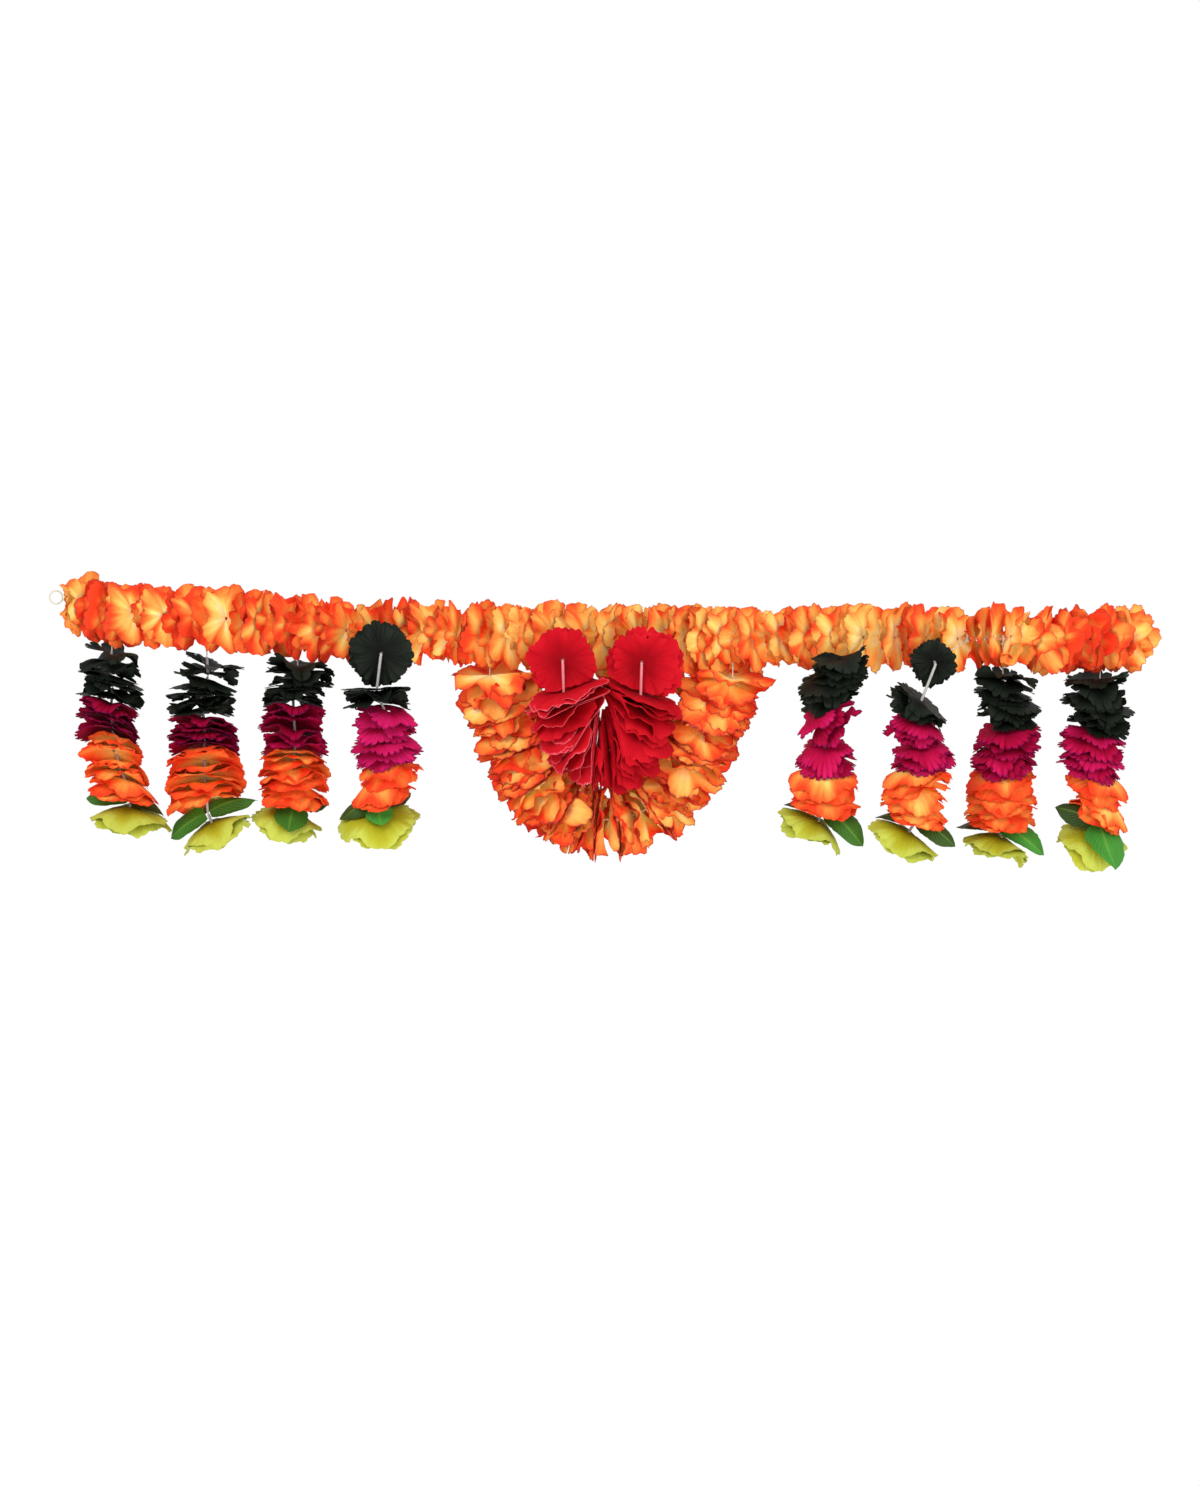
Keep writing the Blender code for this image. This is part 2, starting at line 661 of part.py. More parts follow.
def thread_mesh(name, points):
    """A square tube of thread through the points, with closed ends."""
    curve = bpy.data.curves.new(name, "CURVE")
    curve.dimensions = "3D"
    curve.bevel_depth = THREAD_RADIUS
    curve.bevel_resolution = 0
    curve.use_fill_caps = True
    spline = curve.splines.new("POLY")
    spline.points.add(len(points) - 1)
    for spline_point, point in zip(spline.points, points):
        spline_point.co = (*point, 1)
    guide = bpy.data.objects.new(name + "_curve", curve)
    bpy.context.scene.collection.objects.link(guide)
    bpy.context.view_layer.update()
    data = bpy.data.meshes.new_from_object(guide.evaluated_get(bpy.context.evaluated_depsgraph_get()))
    bpy.data.objects.remove(guide)
    mesh = bmesh.new()
    mesh.from_mesh(data)
    bmesh.ops.remove_doubles(mesh, verts=mesh.verts, dist=THREAD_RADIUS / 100)
    bmesh.ops.recalc_face_normals(mesh, faces=mesh.faces)
    mesh.to_mesh(data)
    mesh.free()
    return data


def wire_ring(centre, major, minor, axis):
    bpy.ops.mesh.primitive_torus_add(
        major_segments=8, minor_segments=3, major_radius=major, minor_radius=minor, location=centre,
    )
    ring = bpy.context.object
    ring.rotation_mode = "QUATERNION"
    ring.rotation_quaternion = axis.to_track_quat("Z", "Y")
    return ring


def knot(centre, radius):
    bpy.ops.mesh.primitive_ico_sphere_add(subdivisions=1, radius=radius, location=centre)
    return bpy.context.object


def thread_object(name, points, fixings):
    """The thread through the points, joined with its rings and knots into one body."""
    made = bpy.data.objects.new(name, thread_mesh(name, points))
    garland.objects.link(made)
    made.data.materials.append(materials["thread"])
    joined = bpy.data.collections.new(name + "_fixings")
    bpy.context.scene.collection.children.link(joined)
    for fixing in fixings:
        for holder in list(fixing.users_collection):
            holder.objects.unlink(fixing)
        joined.objects.link(fixing)
    union = made.modifiers.new("Union", "BOOLEAN")
    union.operation = "UNION"
    union.operand_type = "COLLECTION"
    union.collection = joined
    bpy.context.view_layer.update()
    whole = bpy.data.meshes.new_from_object(made.evaluated_get(bpy.context.evaluated_depsgraph_get()))
    made.modifiers.clear()
    made.data = whole
    whole.name = name
    for fixing in fixings:
        bpy.data.objects.remove(fixing)
    bpy.data.collections.remove(joined)
    return made


def tie(place, way):
    """The ring and knot that fasten a thread round the line, with the knot this way from the line."""
    return [
        wire_ring(place, TIE_MAJOR, TIE_MINOR, RIGHT),
        knot(place + way * (TIE_MAJOR + TIE_MINOR + KNOT_RADIUS / 2), KNOT_RADIUS),
    ]


def tied_start(name, first):
    """(tie point, way from there to the knot, where the spacer tube starts) of a thread on its way to its
    first form."""
    place = tie_point(name)
    straight_down = abs(first.y) < LINE_CLEARANCE / 2
    direction = Vector((0, 0, -1)) if straight_down else (first - place).normalized()
    way = (direction - RIGHT * direction.x).normalized()
    return place, way, place + direction * TUBE_START


def build_strand(name):
    forms = strand_forms(name)
    shapes = [form for _, form in forms]
    place, way, start = tied_start(name, shapes[0].centre)
    last = shapes[-1]
    down = (last.centre - shapes[-2].centre + Vector((0, 0, -TAIL))).normalized()
    end = last.centre + down * TAIL
    bends = {0: FRONT_BENDS[name]} if name in FRONT_BENDS else {}
    stops = string_stops(start, shapes, end, bends)
    separators = separators_of(shapes, bends)
    colours = list(STRANDS[name])
    sizes = [len(rows) for rows in STRANDS[name].values()]
    for colour, group in zip(colours, split_stops(stops, sizes)):
        outside, bore = group_rings(group, separators, on_line=False)
        group_object(f"{name}_{colour}", outside, bore, materials[colour])
    end_knot = end + down * (END_GAP + END_KNOT_RADIUS)
    points = [place + way * TIE_MAJOR] + [stop.point for stop in stops] + [end_knot]
    fixings = tie(place, way) + [knot(end_knot, END_KNOT_RADIUS)]
    thread_object(f"{name}_thread", points, fixings)


def build_swag(name, discs, sizes, bends):
    first_place, first_way, start = tied_start(f"{name}_left", discs[0].centre)
    last_place, last_way, end = tied_start(f"{name}_right", discs[-1].centre)
    stops = string_stops(start, discs, end, bends)
    separators = separators_of(discs, bends)
    for number, group in enumerate(split_stops(stops, sizes), 1):
        outside, bore = group_rings(group, separators, on_line=False)
        title = f"{name}_swag" if len(sizes) == 1 else f"{name}_swag_{number}"
        group_object(title, outside, bore, materials[name])
    points = [first_place + first_way * TIE_MAJOR] + [stop.point for stop in stops]
    points.append(last_place + last_way * TIE_MAJOR)
    thread_object(f"{name}_swag_thread", points, tie(first_place, first_way) + tie(last_place, last_way))


def build_line():
    discs = line_discs()
    start = line_point(LINE_DISCS_FROM * MM + LOOP_MINOR)
    end = line_point(LINE_DISCS_TO * MM - LOOP_MINOR)
    stops = string_stops(start, discs, end, {})
    separators = separators_of(discs, {}, TIES)
    for number, group in enumerate(split_stops(stops, LINE_GROUPS), 1):
        outside, bore = group_rings(group, separators, on_line=True)
        group_object(f"line_flowers_{number}", outside, bore, materials["line"])
    fixings = []
    for tube_end, line_end in ((start, LINE[0]), (end, LINE[-1])):
        outward = (line_end - tube_end).normalized()
        fixings.append(knot(tube_end + outward * (END_GAP + END_KNOT_RADIUS), END_KNOT_RADIUS))
        fixings.append(wire_ring(line_end + outward * LOOP_MAJOR, LOOP_MAJOR, LOOP_MINOR, VIEWER))
    points = [LINE[0]] + [stop.point for stop in stops] + [LINE[-1]]
    thread_object("line_thread", points, fixings)


# Materials

COLOURS = {
    "line": (0.95, 0.22, 0.04), "outer": (0.95, 0.24, 0.05), "inner": (0.70, 0.02, 0.03),
    "dark": (0.010, 0.020, 0.014), "magenta": (0.50, 0.008, 0.13), "orange": (0.95, 0.26, 0.05),
    "leaves": (0.05, 0.18, 0.02), "lime": (0.55, 0.55, 0.03), "thread": (0.75, 0.73, 0.68),
}
CLOTH_ROUGHNESS = 0.75


def cloth(name, colour):
    material = bpy.data.materials.new(name)
    material.use_nodes = True
    shader = material.node_tree.nodes["Principled BSDF"]
    shader.inputs["Base Color"].default_value = (*colour, 1)
    shader.inputs["Roughness"].default_value = CLOTH_ROUGHNESS
    shader.inputs["Metallic"].default_value = 0
    return material


for leftover in list(bpy.data.objects):
    bpy.data.objects.remove(leftover)
garland = bpy.data.collections.new("door_garland")
bpy.context.scene.collection.children.link(garland)
materials = {name: cloth(name, colour) for name, colour in COLOURS.items()}

build_line()
build_swag("outer", outer_discs(), OUTER_GROUPS, bends={})
inner_bends = {0: INNER_BENDS[0], INNER_FANNED: INNER_BENDS[1]}
build_swag("inner", inner_discs(), (INNER_FANNED + 2,), bends=inner_bends)
for strand in STRANDS:
    build_strand(strand)
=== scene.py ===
"""The finished look of a door garland: cloth flowers and leaves, spacer tubes, strings, light and camera.

The garland hangs from the loops at its two ends. The origin is midway between the loops.
X runs to the right along the garland, Y away from the viewer and Z up. All sizes are in metres.
"""

import math
import random
from collections import namedtuple

import bpy
import numpy as np
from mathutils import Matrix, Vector


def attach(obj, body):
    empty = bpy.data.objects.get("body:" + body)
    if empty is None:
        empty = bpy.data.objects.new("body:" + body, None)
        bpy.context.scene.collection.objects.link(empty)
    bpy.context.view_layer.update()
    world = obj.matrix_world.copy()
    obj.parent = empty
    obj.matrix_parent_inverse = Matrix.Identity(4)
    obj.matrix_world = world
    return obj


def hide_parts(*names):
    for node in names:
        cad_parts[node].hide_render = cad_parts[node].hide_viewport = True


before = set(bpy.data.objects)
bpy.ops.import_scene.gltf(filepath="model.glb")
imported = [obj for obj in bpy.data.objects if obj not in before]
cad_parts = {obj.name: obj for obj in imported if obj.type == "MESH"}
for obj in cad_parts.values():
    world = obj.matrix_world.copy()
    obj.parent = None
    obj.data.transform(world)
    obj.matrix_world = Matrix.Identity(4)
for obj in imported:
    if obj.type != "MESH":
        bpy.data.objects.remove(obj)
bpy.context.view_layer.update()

MM = 0.001
VIEWER = Vector((0, -1, 0))
RIGHT = Vector((1, 0, 0))
UP = Vector((0, 0, 1))

# Cloth, spacer tubes and string. A tube has TUBE_RADIUS in the solids and is shown thinner, and it stops
# short of each flower and bend
CLOTH = 0.3 * MM
TUBE_RADIUS = 1.7 * MM
TUBE_SEEN = 1.3 * MM
TUBE_WALL_GAP = 0.9 * MM
STRING_RADIUS = 0.6 * MM

# A cloth keeps SEPARATOR_MARGIN from the sheet between its flower and a neighbour, and one LAYER_STEP more
# for each cloth between. SOFTNESS rounds the bend where it comes to lie along the sheet
SEPARATOR_MARGIN = 0.45 * MM
LAYER_STEP = 0.6 * MM
SOFTNESS = 1.4 * MM
SEPARATOR_PASSES = 4
NEIGHBOURS = 3
# Where a strand is tied on, flowers keep TIE_MARGIN from the sheet. Where one of two flowers faces the
# viewer, the sheet lies LOWER_DISC_STEP above the lower one
TIE_MARGIN = 1.0 * MM
LOWER_DISC_STEP = 4 * MM
# How far the front and back edges of a swag's sheets lean, to one side and the other by turns
SWAG_SWAY = 8 * MM
# How far from the line's string the other flowers and their spacer tubes start
LINE_CLEARANCE = 37.5 * MM
TUBE_START = 36.5 * MM

# Ties round the line, whose second turn is a little smaller, knots and end loops
TIE_MAJOR = 3.3 * MM
TIE_MINOR = 0.7 * MM
SECOND_TIE_MAJOR = 0.96 * TIE_MAJOR
SECOND_TIE_MINOR = 0.8 * TIE_MINOR
KNOT_RADIUS = 1.7 * MM
END_KNOT_RADIUS = 2.6 * MM
END_GAP = 0.3 * MM
TAIL = 5 * MM
LOOP_MAJOR = 6.0 * MM
LOOP_MINOR = 0.75 * MM

# centre: where the string passes; normal: the disc's axis; cup: how far the rim is pushed along the
# normal; wave: height of the ruffle; notch: depth of the cuts between petals as a share of the radius
Disc = namedtuple("Disc", "centre normal radius cup wave notch seed")
# The discs of the line or a swag, with the least and most of each one's size, as a share of radius, its cup
# and its wave
Row = namedtuple("Row", "radius sizes cups waves notch seed")
# leaves: (direction seen from above, length, shade) of each leaf
Whorl = namedtuple("Whorl", "centre normal radius cup leaves")
# sway: how far the sheet's front and back edges lean along its axis
Separator = namedtuple("Separator", "point axis cup sway reach margin")
# A place on a string. side is square to it, and shapes start their turn round it there
Stop = namedtuple("Stop", "point direction side form number")
# How a kind of flower is cut and gathered. uneven, notch and slit are shares of the radius
# layers: how many cloths it has; steps: points round the rim; size: its radius as a share of the disc's
# longer: which way its petals are longer, as a vector whose length is the share by which they are
# spread: how far its first and last cloth part at the rim, as a share of the flower's room
# bulge: how far each petal's middle stands over its sides; petal: how far single petals bend up or down
# uneven: how much the petals' lengths differ; notch: depth between petals
# folds and ruffles: how many, with heights fold and ruffle; curl: how far one side of the rim turns over
# slits: how many narrow slits the rim has; slit: their depth; finger: how far the strips between them bend
# teeth: depth of the pinked edge; pleat: height of the fine pleats
Finish = namedtuple("Finish", (
    "layers steps size longer spread bulge petal uneven folds fold ruffles ruffle curl notch slits slit "
    "finger teeth pleat"
))


# Routes

def smooth_route(points, steps=12):
    """Points on one smooth curve through the given points."""
    ends = [points[0] * 2 - points[1]] + points + [points[-1] * 2 - points[-2]]
    route = []
    for before, start, end, after in zip(ends, ends[1:], ends[2:], ends[3:]):
        for step in range(steps):
            t = step / steps
            bend = (before * 2 - start * 5 + end * 4 - after) * t * t
            turn = (start * 3 - before - end * 3 + after) * t * t * t
            route.append((start * 2 + (end - before) * t + bend + turn) / 2)
    return route + [points[-1]]


def at_distance(route, distance):
    """(point, direction) at this distance along a route."""
    for start, end in zip(route, route[1:]):
        length = (end - start).length
        if distance <= length:
            break
        distance -= length
    direction = (end - start).normalized()
    return start + direction * distance, direction


def route_length(route):
    return sum((end - start).length for start, end in zip(route, route[1:]))


def millimetres(points):
    """Points from (x, z) pairs in the garland's plane, or from (x, y, z) triples."""
    return [Vector((point[0], point[1] if len(point) == 3 else 0, point[-1])) * MM for point in points]


def level_axis(roll, nod):
    """Axis of a disc that starts level: roll lifts its right side and nod lowers its front, in degrees."""
    roll, nod = math.radians(roll), math.radians(nod)
    return Vector((-math.sin(roll) * math.cos(nod), -math.sin(nod), math.cos(roll) * math.cos(nod)))


# The line

LINE = smooth_route(millimetres([
    (-499, 17), (-464, 7), (-408, 3), (-348, -1), (-279, -8), (-205, -13), (-107, -16),
    (0, -17.5), (130, -18), (291, -18.5), (400, -20), (462, -21), (499, -17),
]))
LINE_DISCS_FROM, LINE_DISCS_TO = -488, 492
# Where each strand or swag hangs: how far along the line, how far in front of it, and the turn of the
# gap between two discs through which its string goes there from the line, in degrees
TIES = {
    "strand_1": (-453, 0, 42), "strand_2": (-365, 0, 44), "strand_3": (-281, 0, 34),
    "strand_4": (-201, 40, 34), "outer_left": (-103, 0, 38), "inner_left": (-35, 41, 34),
    "inner_right": (37, 41, 36), "outer_right": (122, 0, 40), "strand_5": (219, 36, 42),
    "strand_6": (305, 40, 40), "strand_7": (372, 0, 24), "strand_8": (462, 0, -38),
}
DISCS_BETWEEN_TIES = (2, 3, 3, 4, 3, 4, 3, 3, 5, 3, 1, 4, 2)
# How far each disc of the line turns its right face to the viewer, in degrees
LINE_YAWS = (
    42, 38, 46, 48, 44, 50, 34, 28, 32, 36, 30, 34, 36, 30, 38, 44, 36, 32, 34, 38,
    40, 36, 42, 38, 44, 40, 34, 38, 46, 50, 34, 46, 38, 26, -34, -34, -40, -36, -40, -48,
)
# Discs whose tops lean to the right by a set angle; the others lean a little at random
LEANING = {33: -8, 34: 24, 35: 10}
LINE_LEAN = 7
LINE_SEED = 100
LINE_ROW = Row(
    radius=34.5 * MM, sizes=(0.9, 1.0), cups=(-5 * MM, 6 * MM), waves=(3 * MM, 5 * MM), notch=0.15,
    seed=LINE_SEED,
)
LINE_GROUPS = (8, 8, 8, 8, 8)
# The shade of each of the line's flowers, from 0, yellow, to 1, red
LINE_SHADES = (
    0.0, 0.95, 0.6, 0.4, 1.0, 0.35, 0.8, 0.75, 0.85, 0.7, 0.35, 0.9, 0.4, 0.4, 0.65, 0.3, 0.15, 0.15, 0.1,
    0.15, 0.15, 0.15, 0.15, 0.15, 0.35, 0.4, 0.2, 0.4, 0.3, 0.05, 0.1, 0.7, 0.05, 0.6, 0.1, 0.45, 0.9, 0.8,
    0.5, 0.05,
)


def line_heights(xs):
    return np.interp(xs, [point.x for point in LINE], [point.z for point in LINE])


def line_point(x):
    return Vector((x, 0, line_heights(x)))


def tie_point(name):
    """Where the string of a strand or swag is tied round the line."""
    x, depth, yaw = TIES[name]
    return line_point((x + depth * math.tan(math.radians(yaw))) * MM)


def drawn_disc(row, number, centre, normal, draw):
    """A disc of the row, with its size, cup and wave at random."""
    size, cup, wave = (draw.uniform(*limits) for limits in (row.sizes, row.cups, row.waves))
    return Disc(centre, normal, row.radius * size, cup, wave, row.notch, row.seed + number)


def line_discs():
    draw = random.Random(LINE_SEED)
    edges = [LINE_DISCS_FROM * MM, *(tie_point(name).x for name in TIES), LINE_DISCS_TO * MM]
    discs = []
    for left, right, count in zip(edges, edges[1:], DISCS_BETWEEN_TIES):
        for place in range(count):
            number = len(discs)
            lean = math.radians(LEANING.get(number, draw.uniform(-LINE_LEAN, LINE_LEAN)))
            yaw = math.radians(LINE_YAWS[number])
            centre = line_point(left + (right - left) * (place + 0.5) / count)
            normal = Vector((math.cos(yaw), -math.sin(yaw), -math.tan(lean))).normalized()
            discs.append(drawn_disc(LINE_ROW, number, centre, normal, draw))
    return discs


# Swags

OUTER_ROUTE = smooth_route(millimetres([
    (-103, -16), (-103, -38), (-101, -58), (-94, -79), (-85, -101), (-72, -135), (-52, -164), (-26, -181),
    (1, -187), (34, -181), (62, -161), (82, -132), (94, -103), (108, -78), (119, -58), (122, -40), (122, -18),
]))
OUTER_DISCS = 21
OUTER_FIRST = 44 * MM
OUTER_SEED = 200
OUTER_ROW = Row(
    radius=38 * MM, sizes=(0.93, 1.04), cups=(-3 * MM, 4 * MM), waves=(2.5 * MM, 4 * MM), notch=0.15,
    seed=OUTER_SEED,
)
# The discs turn by OUTER_TURN at both ends of the swag. Towards its middle the turn falls off, as a power
# of their distance from there
OUTER_TURN = 38
OUTER_TURN_POWER = 0.45
OUTER_TURN_SPREAD = 12
OUTER_GROUPS = (7, 7, 7)

# The first and the last disc of the inner swag face the viewer, and the others hang in front of them
INNER_ENDS = millimetres([(-35, -41, -40), (37, -41, -42)])
INNER_BENDS = millimetres([(-35, -49, -42), (37, -49, -44)])
INNER_ROUTE = smooth_route(millimetres([
    (-34, -49, -72), (-32, -48, -90), (-25, -47, -107), (-11, -46, -119), (4, -46, -123),
    (20, -46, -119), (32, -47, -106), (36, -48, -90), (36, -49, -73),
]))
INNER_FANNED = 11
INNER_SEED = 300
INNER_ROW = Row(
    radius=35 * MM, sizes=(0.95, 1.06), cups=(1 * MM, 4 * MM), waves=(2 * MM, 3.2 * MM), notch=0.14,
    seed=INNER_SEED,
)
INNER_END_ROW = INNER_ROW._replace(radius=30 * MM)
INNER_END_TURN = 82
INNER_FIRST_TURN = 8
INNER_TURNS = (18, 32)
FAN_CENTRE = Vector((1, -48, -62)) * MM
# Discs that are at least so far from its middle belong to one of the inner swag's arms, and stay on their
# side of an upright plane whose axis turns to the back by ARMS_TURN
ARM_FROM = 15 * MM
ARMS_TURN = math.radians(35)
ARMS_APART = np.array((math.cos(ARMS_TURN), math.sin(ARMS_TURN), 0))


def outer_discs():
    """Discs square to the swag's route, with their front edges turned down on both arms."""
    draw = random.Random(OUTER_SEED)
    pitch = (route_length(OUTER_ROUTE) - 2 * OUTER_FIRST) / (OUTER_DISCS - 1)
    discs = []
    for number in range(OUTER_DISCS):
        centre, direction = at_distance(OUTER_ROUTE, OUTER_FIRST + pitch * number)
        across = 1 - 2 * number / (OUTER_DISCS - 1)
        turned = math.copysign(OUTER_TURN * abs(across) ** OUTER_TURN_POWER, across)
        turn = math.radians(turned + draw.uniform(-OUTER_TURN_SPREAD, OUTER_TURN_SPREAD))
        normal = direction * math.cos(turn) - VIEWER * math.sin(turn)
        discs.append(drawn_disc(OUTER_ROW, number, centre, normal, draw))
    return discs


def inner_disc(row, number, centre, direction, turn, draw):
    """A disc that turns its lower face from the viewer: side is 1 on the left arm and -1 on the right."""
    side = 1 if centre.x < FAN_CENTRE.x else -1
    normal = (direction * math.cos(turn) - VIEWER * math.sin(turn) * side).normalized()
    disc = drawn_disc(row, number, centre, normal, draw)
    return disc._replace(cup=disc.cup * side)


def inner_discs():
    """Discs that fan round one centre, between two that face the viewer."""
    draw = random.Random(INNER_SEED)
    end_turn = math.radians(INNER_END_TURN)
    discs = [inner_disc(INNER_END_ROW, 0, INNER_ENDS[0], -UP, end_turn, draw)]
    pitch = route_length(INNER_ROUTE) / (INNER_FANNED - 1)
    for number in range(INNER_FANNED):
        centre, direction = at_distance(INNER_ROUTE, pitch * number)
        inward = (FAN_CENTRE - centre).normalized()
        fanned = (direction - inward * direction.dot(inward)).normalized()
        turn = draw.uniform(*INNER_TURNS) if 0 < number < INNER_FANNED - 1 else INNER_FIRST_TURN
        discs.append(inner_disc(INNER_ROW, number + 1, centre, fanned, math.radians(turn), draw))
    discs.append(inner_disc(INNER_END_ROW, INNER_FANNED + 1, INNER_ENDS[1], UP, end_turn, draw))
    return discs


# Strands

# Each form is (x, y, z of its centre in millimetres, roll, nod in degrees, radius in millimetres)
STRANDS = {
    "strand_1": {
        "dark": [(-455, 0, -44, -14, 6, 30), (-452, 0, -64, -16, 2, 31)],
        "magenta": [(-454, 0, -84, -18, -10, 31), (-452, 0, -101, -17, -24, 32)],
        "orange": [(-450, 0, -120, -14, -40, 30), (-446, 0, -138, -14, -14, 32), (-439, 0, -154, -16, 4, 35)],
        "leaves": [(-436, 0, -168, -10, 4, 38)],
        "lime": [(-436, 0, -176, -4, 14, 39)],
    },
    "strand_2": {
        "dark": [(-364, 0, -54, -16, 8, 32), (-371, 0, -77, 3, 4, 33)],
        "magenta": [(-367, 0, -97, -3, -6, 34), (-367, 0, -112, 0, -16, 35)],
        "orange": [(-367, 0, -129, 2, -28, 37), (-367, 0, -145, 2, -26, 39), (-366, 0, -159, 3, -16, 38)],
        "leaves": [(-364, 0, -181, 32, 16, 44)],
        "lime": [(-360, 0, -191, 24, 14, 37)],
    },
    "strand_3": {
        "dark": [(-279, 0, -53, 3, 8, 34), (-285, 0, -70, 0, -4, 31)],
        "magenta": [(-285, 0, -89, -4, -22, 33), (-283, 0, -110, -8, -6, 33)],
        "orange": [(-284, 0, -129, 0, -14, 33), (-284, 0, -145, -2, -10, 34), (-282, 0, -159, -7, 4, 34)],
        "leaves": [(-284, 0, -170, -5, 20, 33)],
        "lime": [(-290, 0, -181, -14, 22, 35)],
    },
    "strand_4": {
        "dark": [(-201, -40, -34, 0, 85, 31), (-205, -46, -70, 2, -2, 33)],
        "magenta": [(-195, -46, -92, -14, 20, 32), (-197, -46, -117, 10, 24, 33)],
        "orange": [(-195, -46, -136, 14, 26, 30), (-203, -46, -155, 18, 20, 33)],
        "leaves": [(-204, -46, -170, 8, 22, 42)],
        "lime": [(-204, -46, -180, 2, 34, 40)],
    },
    "strand_5": {
        "dark": [(219, -36, -46, 6, 24, 29), (210, -36, -64, 8, 28, 32)],
        "magenta": [(204, -36, -93, 50, 8, 31), (205, -36, -125, 4, 36, 31)],
        "orange": [(203, -36, -147, -2, 26, 35), (205, -36, -165, -6, 18, 34)],
        "leaves": [(205, -36, -176, -16, 14, 38)],
        "lime": [(198, -36, -188, -34, 16, 35)],
    },
    "strand_6": {
        "dark": [(305, -40, -42, -10, 72, 23), (291, -48, -80, -38, 14, 31)],
        "magenta": [(290, -48, -101, -24, 20, 28), (292, -48, -123, 18, 20, 32)],
        "orange": [(287, -48, -143, 5, 14, 34), (286, -48, -160, -2, 22, 32), (289, -48, -175, -9, 18, 31)],
        "leaves": [(288, -48, -186, -14, 10, 38)],
        "lime": [(280, -48, -198, -32, 14, 37)],
    },
    "strand_7": {
        "dark": [(373, 0, -62, -8, 22, 31), (378, 0, -82, -14, 20, 31)],
        "magenta": [(376, 0, -109, 12, 20, 34), (372, 0, -127, 7, 18, 32)],
        "orange": [(371, 0, -146, 4, 24, 35), (370, 0, -164, 2, 18, 35), (369, 0, -180, 8, 16, 33)],
        "leaves": [(369, 0, -192, -14, 12, 40)],
        "lime": [(370, 0, -204, -18, 14, 33)],
    },
    "strand_8": {
        "dark": [(457, 0, -66, -3, 20, 32), (464, 0, -89, -10, 20, 32)],
        "magenta": [(457, 0, -110, -8, 24, 33), (455, 0, -129, -14, 20, 33)],
        "orange": [(463, 0, -150, -28, 22, 32), (467, 0, -174, -38, 16, 31)],
        "leaves": [(460, 0, -189, -24, 28, 40)],
        "lime": [(458, 0, -201, -12, 34, 36)],
    },
}
# (cup, wave, notch) of each colour's discs, whose rims hang below their centres
STRAND_FORMS = {
    "dark": (4 * MM, 4.0 * MM, 0.16),
    "magenta": (8 * MM, 3.5 * MM, 0.12),
    "orange": (11 * MM, 3.5 * MM, 0.10),
    "lime": (11 * MM, 4.0 * MM, 0.09),
}
STRAND_SEED = 400
SEEDS_PER_STRAND = 20
# The shade of each strand's magenta flowers, from 0, dark, to 1, bright
MAGENTA_SHADES = {
    f"{strand}_magenta": shade for strand, shade in zip(STRANDS, (0.2, 0.35, 0.45, 0.95, 0.6, 0.6, 0.5, 0.6))
}
# Each leaf's direction seen from above, in degrees from the right, its share of the whorl's radius, and
# its shade from 0, brown and dark, to 1, light green
LEAVES = {
    "strand_1": ((185, 1.0, 0.6), (350, 0.95, 0.1), (80, 0.8, 0.4)),
    "strand_2": ((182, 1.0, 0.7), (0, 1.0, 0.6), (95, 0.75, 0.3)),
    "strand_3": ((160, 0.95, 0.2), (268, 0.9, 0.7), (15, 1.0, 0.1)),
    "strand_4": ((192, 1.0, 0.35), (272, 0.55, 1.0), (35, 0.9, 0.05)),
    "strand_5": ((180, 0.95, 0.1), (325, 1.0, 0.6), (75, 0.8, 0.3)),
    "strand_6": ((178, 1.0, 0.1), (335, 0.9, 0.4), (80, 0.75, 0.3)),
    "strand_7": ((182, 1.0, 0.1), (335, 1.0, 0.85), (85, 0.7, 0.3)),
    "strand_8": ((170, 1.0, 0.25), (300, 1.0, 0.9), (50, 0.8, 0.4)),
}
LEAF_DROOP = 7 * MM
# Where a string turns down, in front of the hole of a first disc that faces the viewer
FRONT_BENDS = {
    "strand_4": Vector((-201, -47, -36)) * MM,
    "strand_6": Vector((305, -47, -45)) * MM,
}


def strand_seed(strand, form):
    """Seed of a strand's form. Strands are counted from 1 and forms from 0, from the top down."""
    return STRAND_SEED + SEEDS_PER_STRAND * (strand - 1) + form


def strand_forms(name):
    """Each disc and the leaf whorl, from the top down."""
    forms = []
    for colour, rows in STRANDS[name].items():
        for x, y, z, roll, nod, radius in rows:
            centre = Vector((x, y, z)) * MM
            axis = -level_axis(roll, nod)
            if colour == "leaves":
                leaves = [
                    (math.radians(turn), radius * MM * share, shade) for turn, share, shade in LEAVES[name]]
                forms.append(Whorl(centre, axis, radius * MM, LEAF_DROOP, leaves))
            else:
                seed = strand_seed(list(STRANDS).index(name) + 1, len(forms))
                forms.append(Disc(centre, axis, radius * MM, *STRAND_FORMS[colour], seed))
    return forms


# Separators: each form stays on its own side of the sheets between it and its neighbours

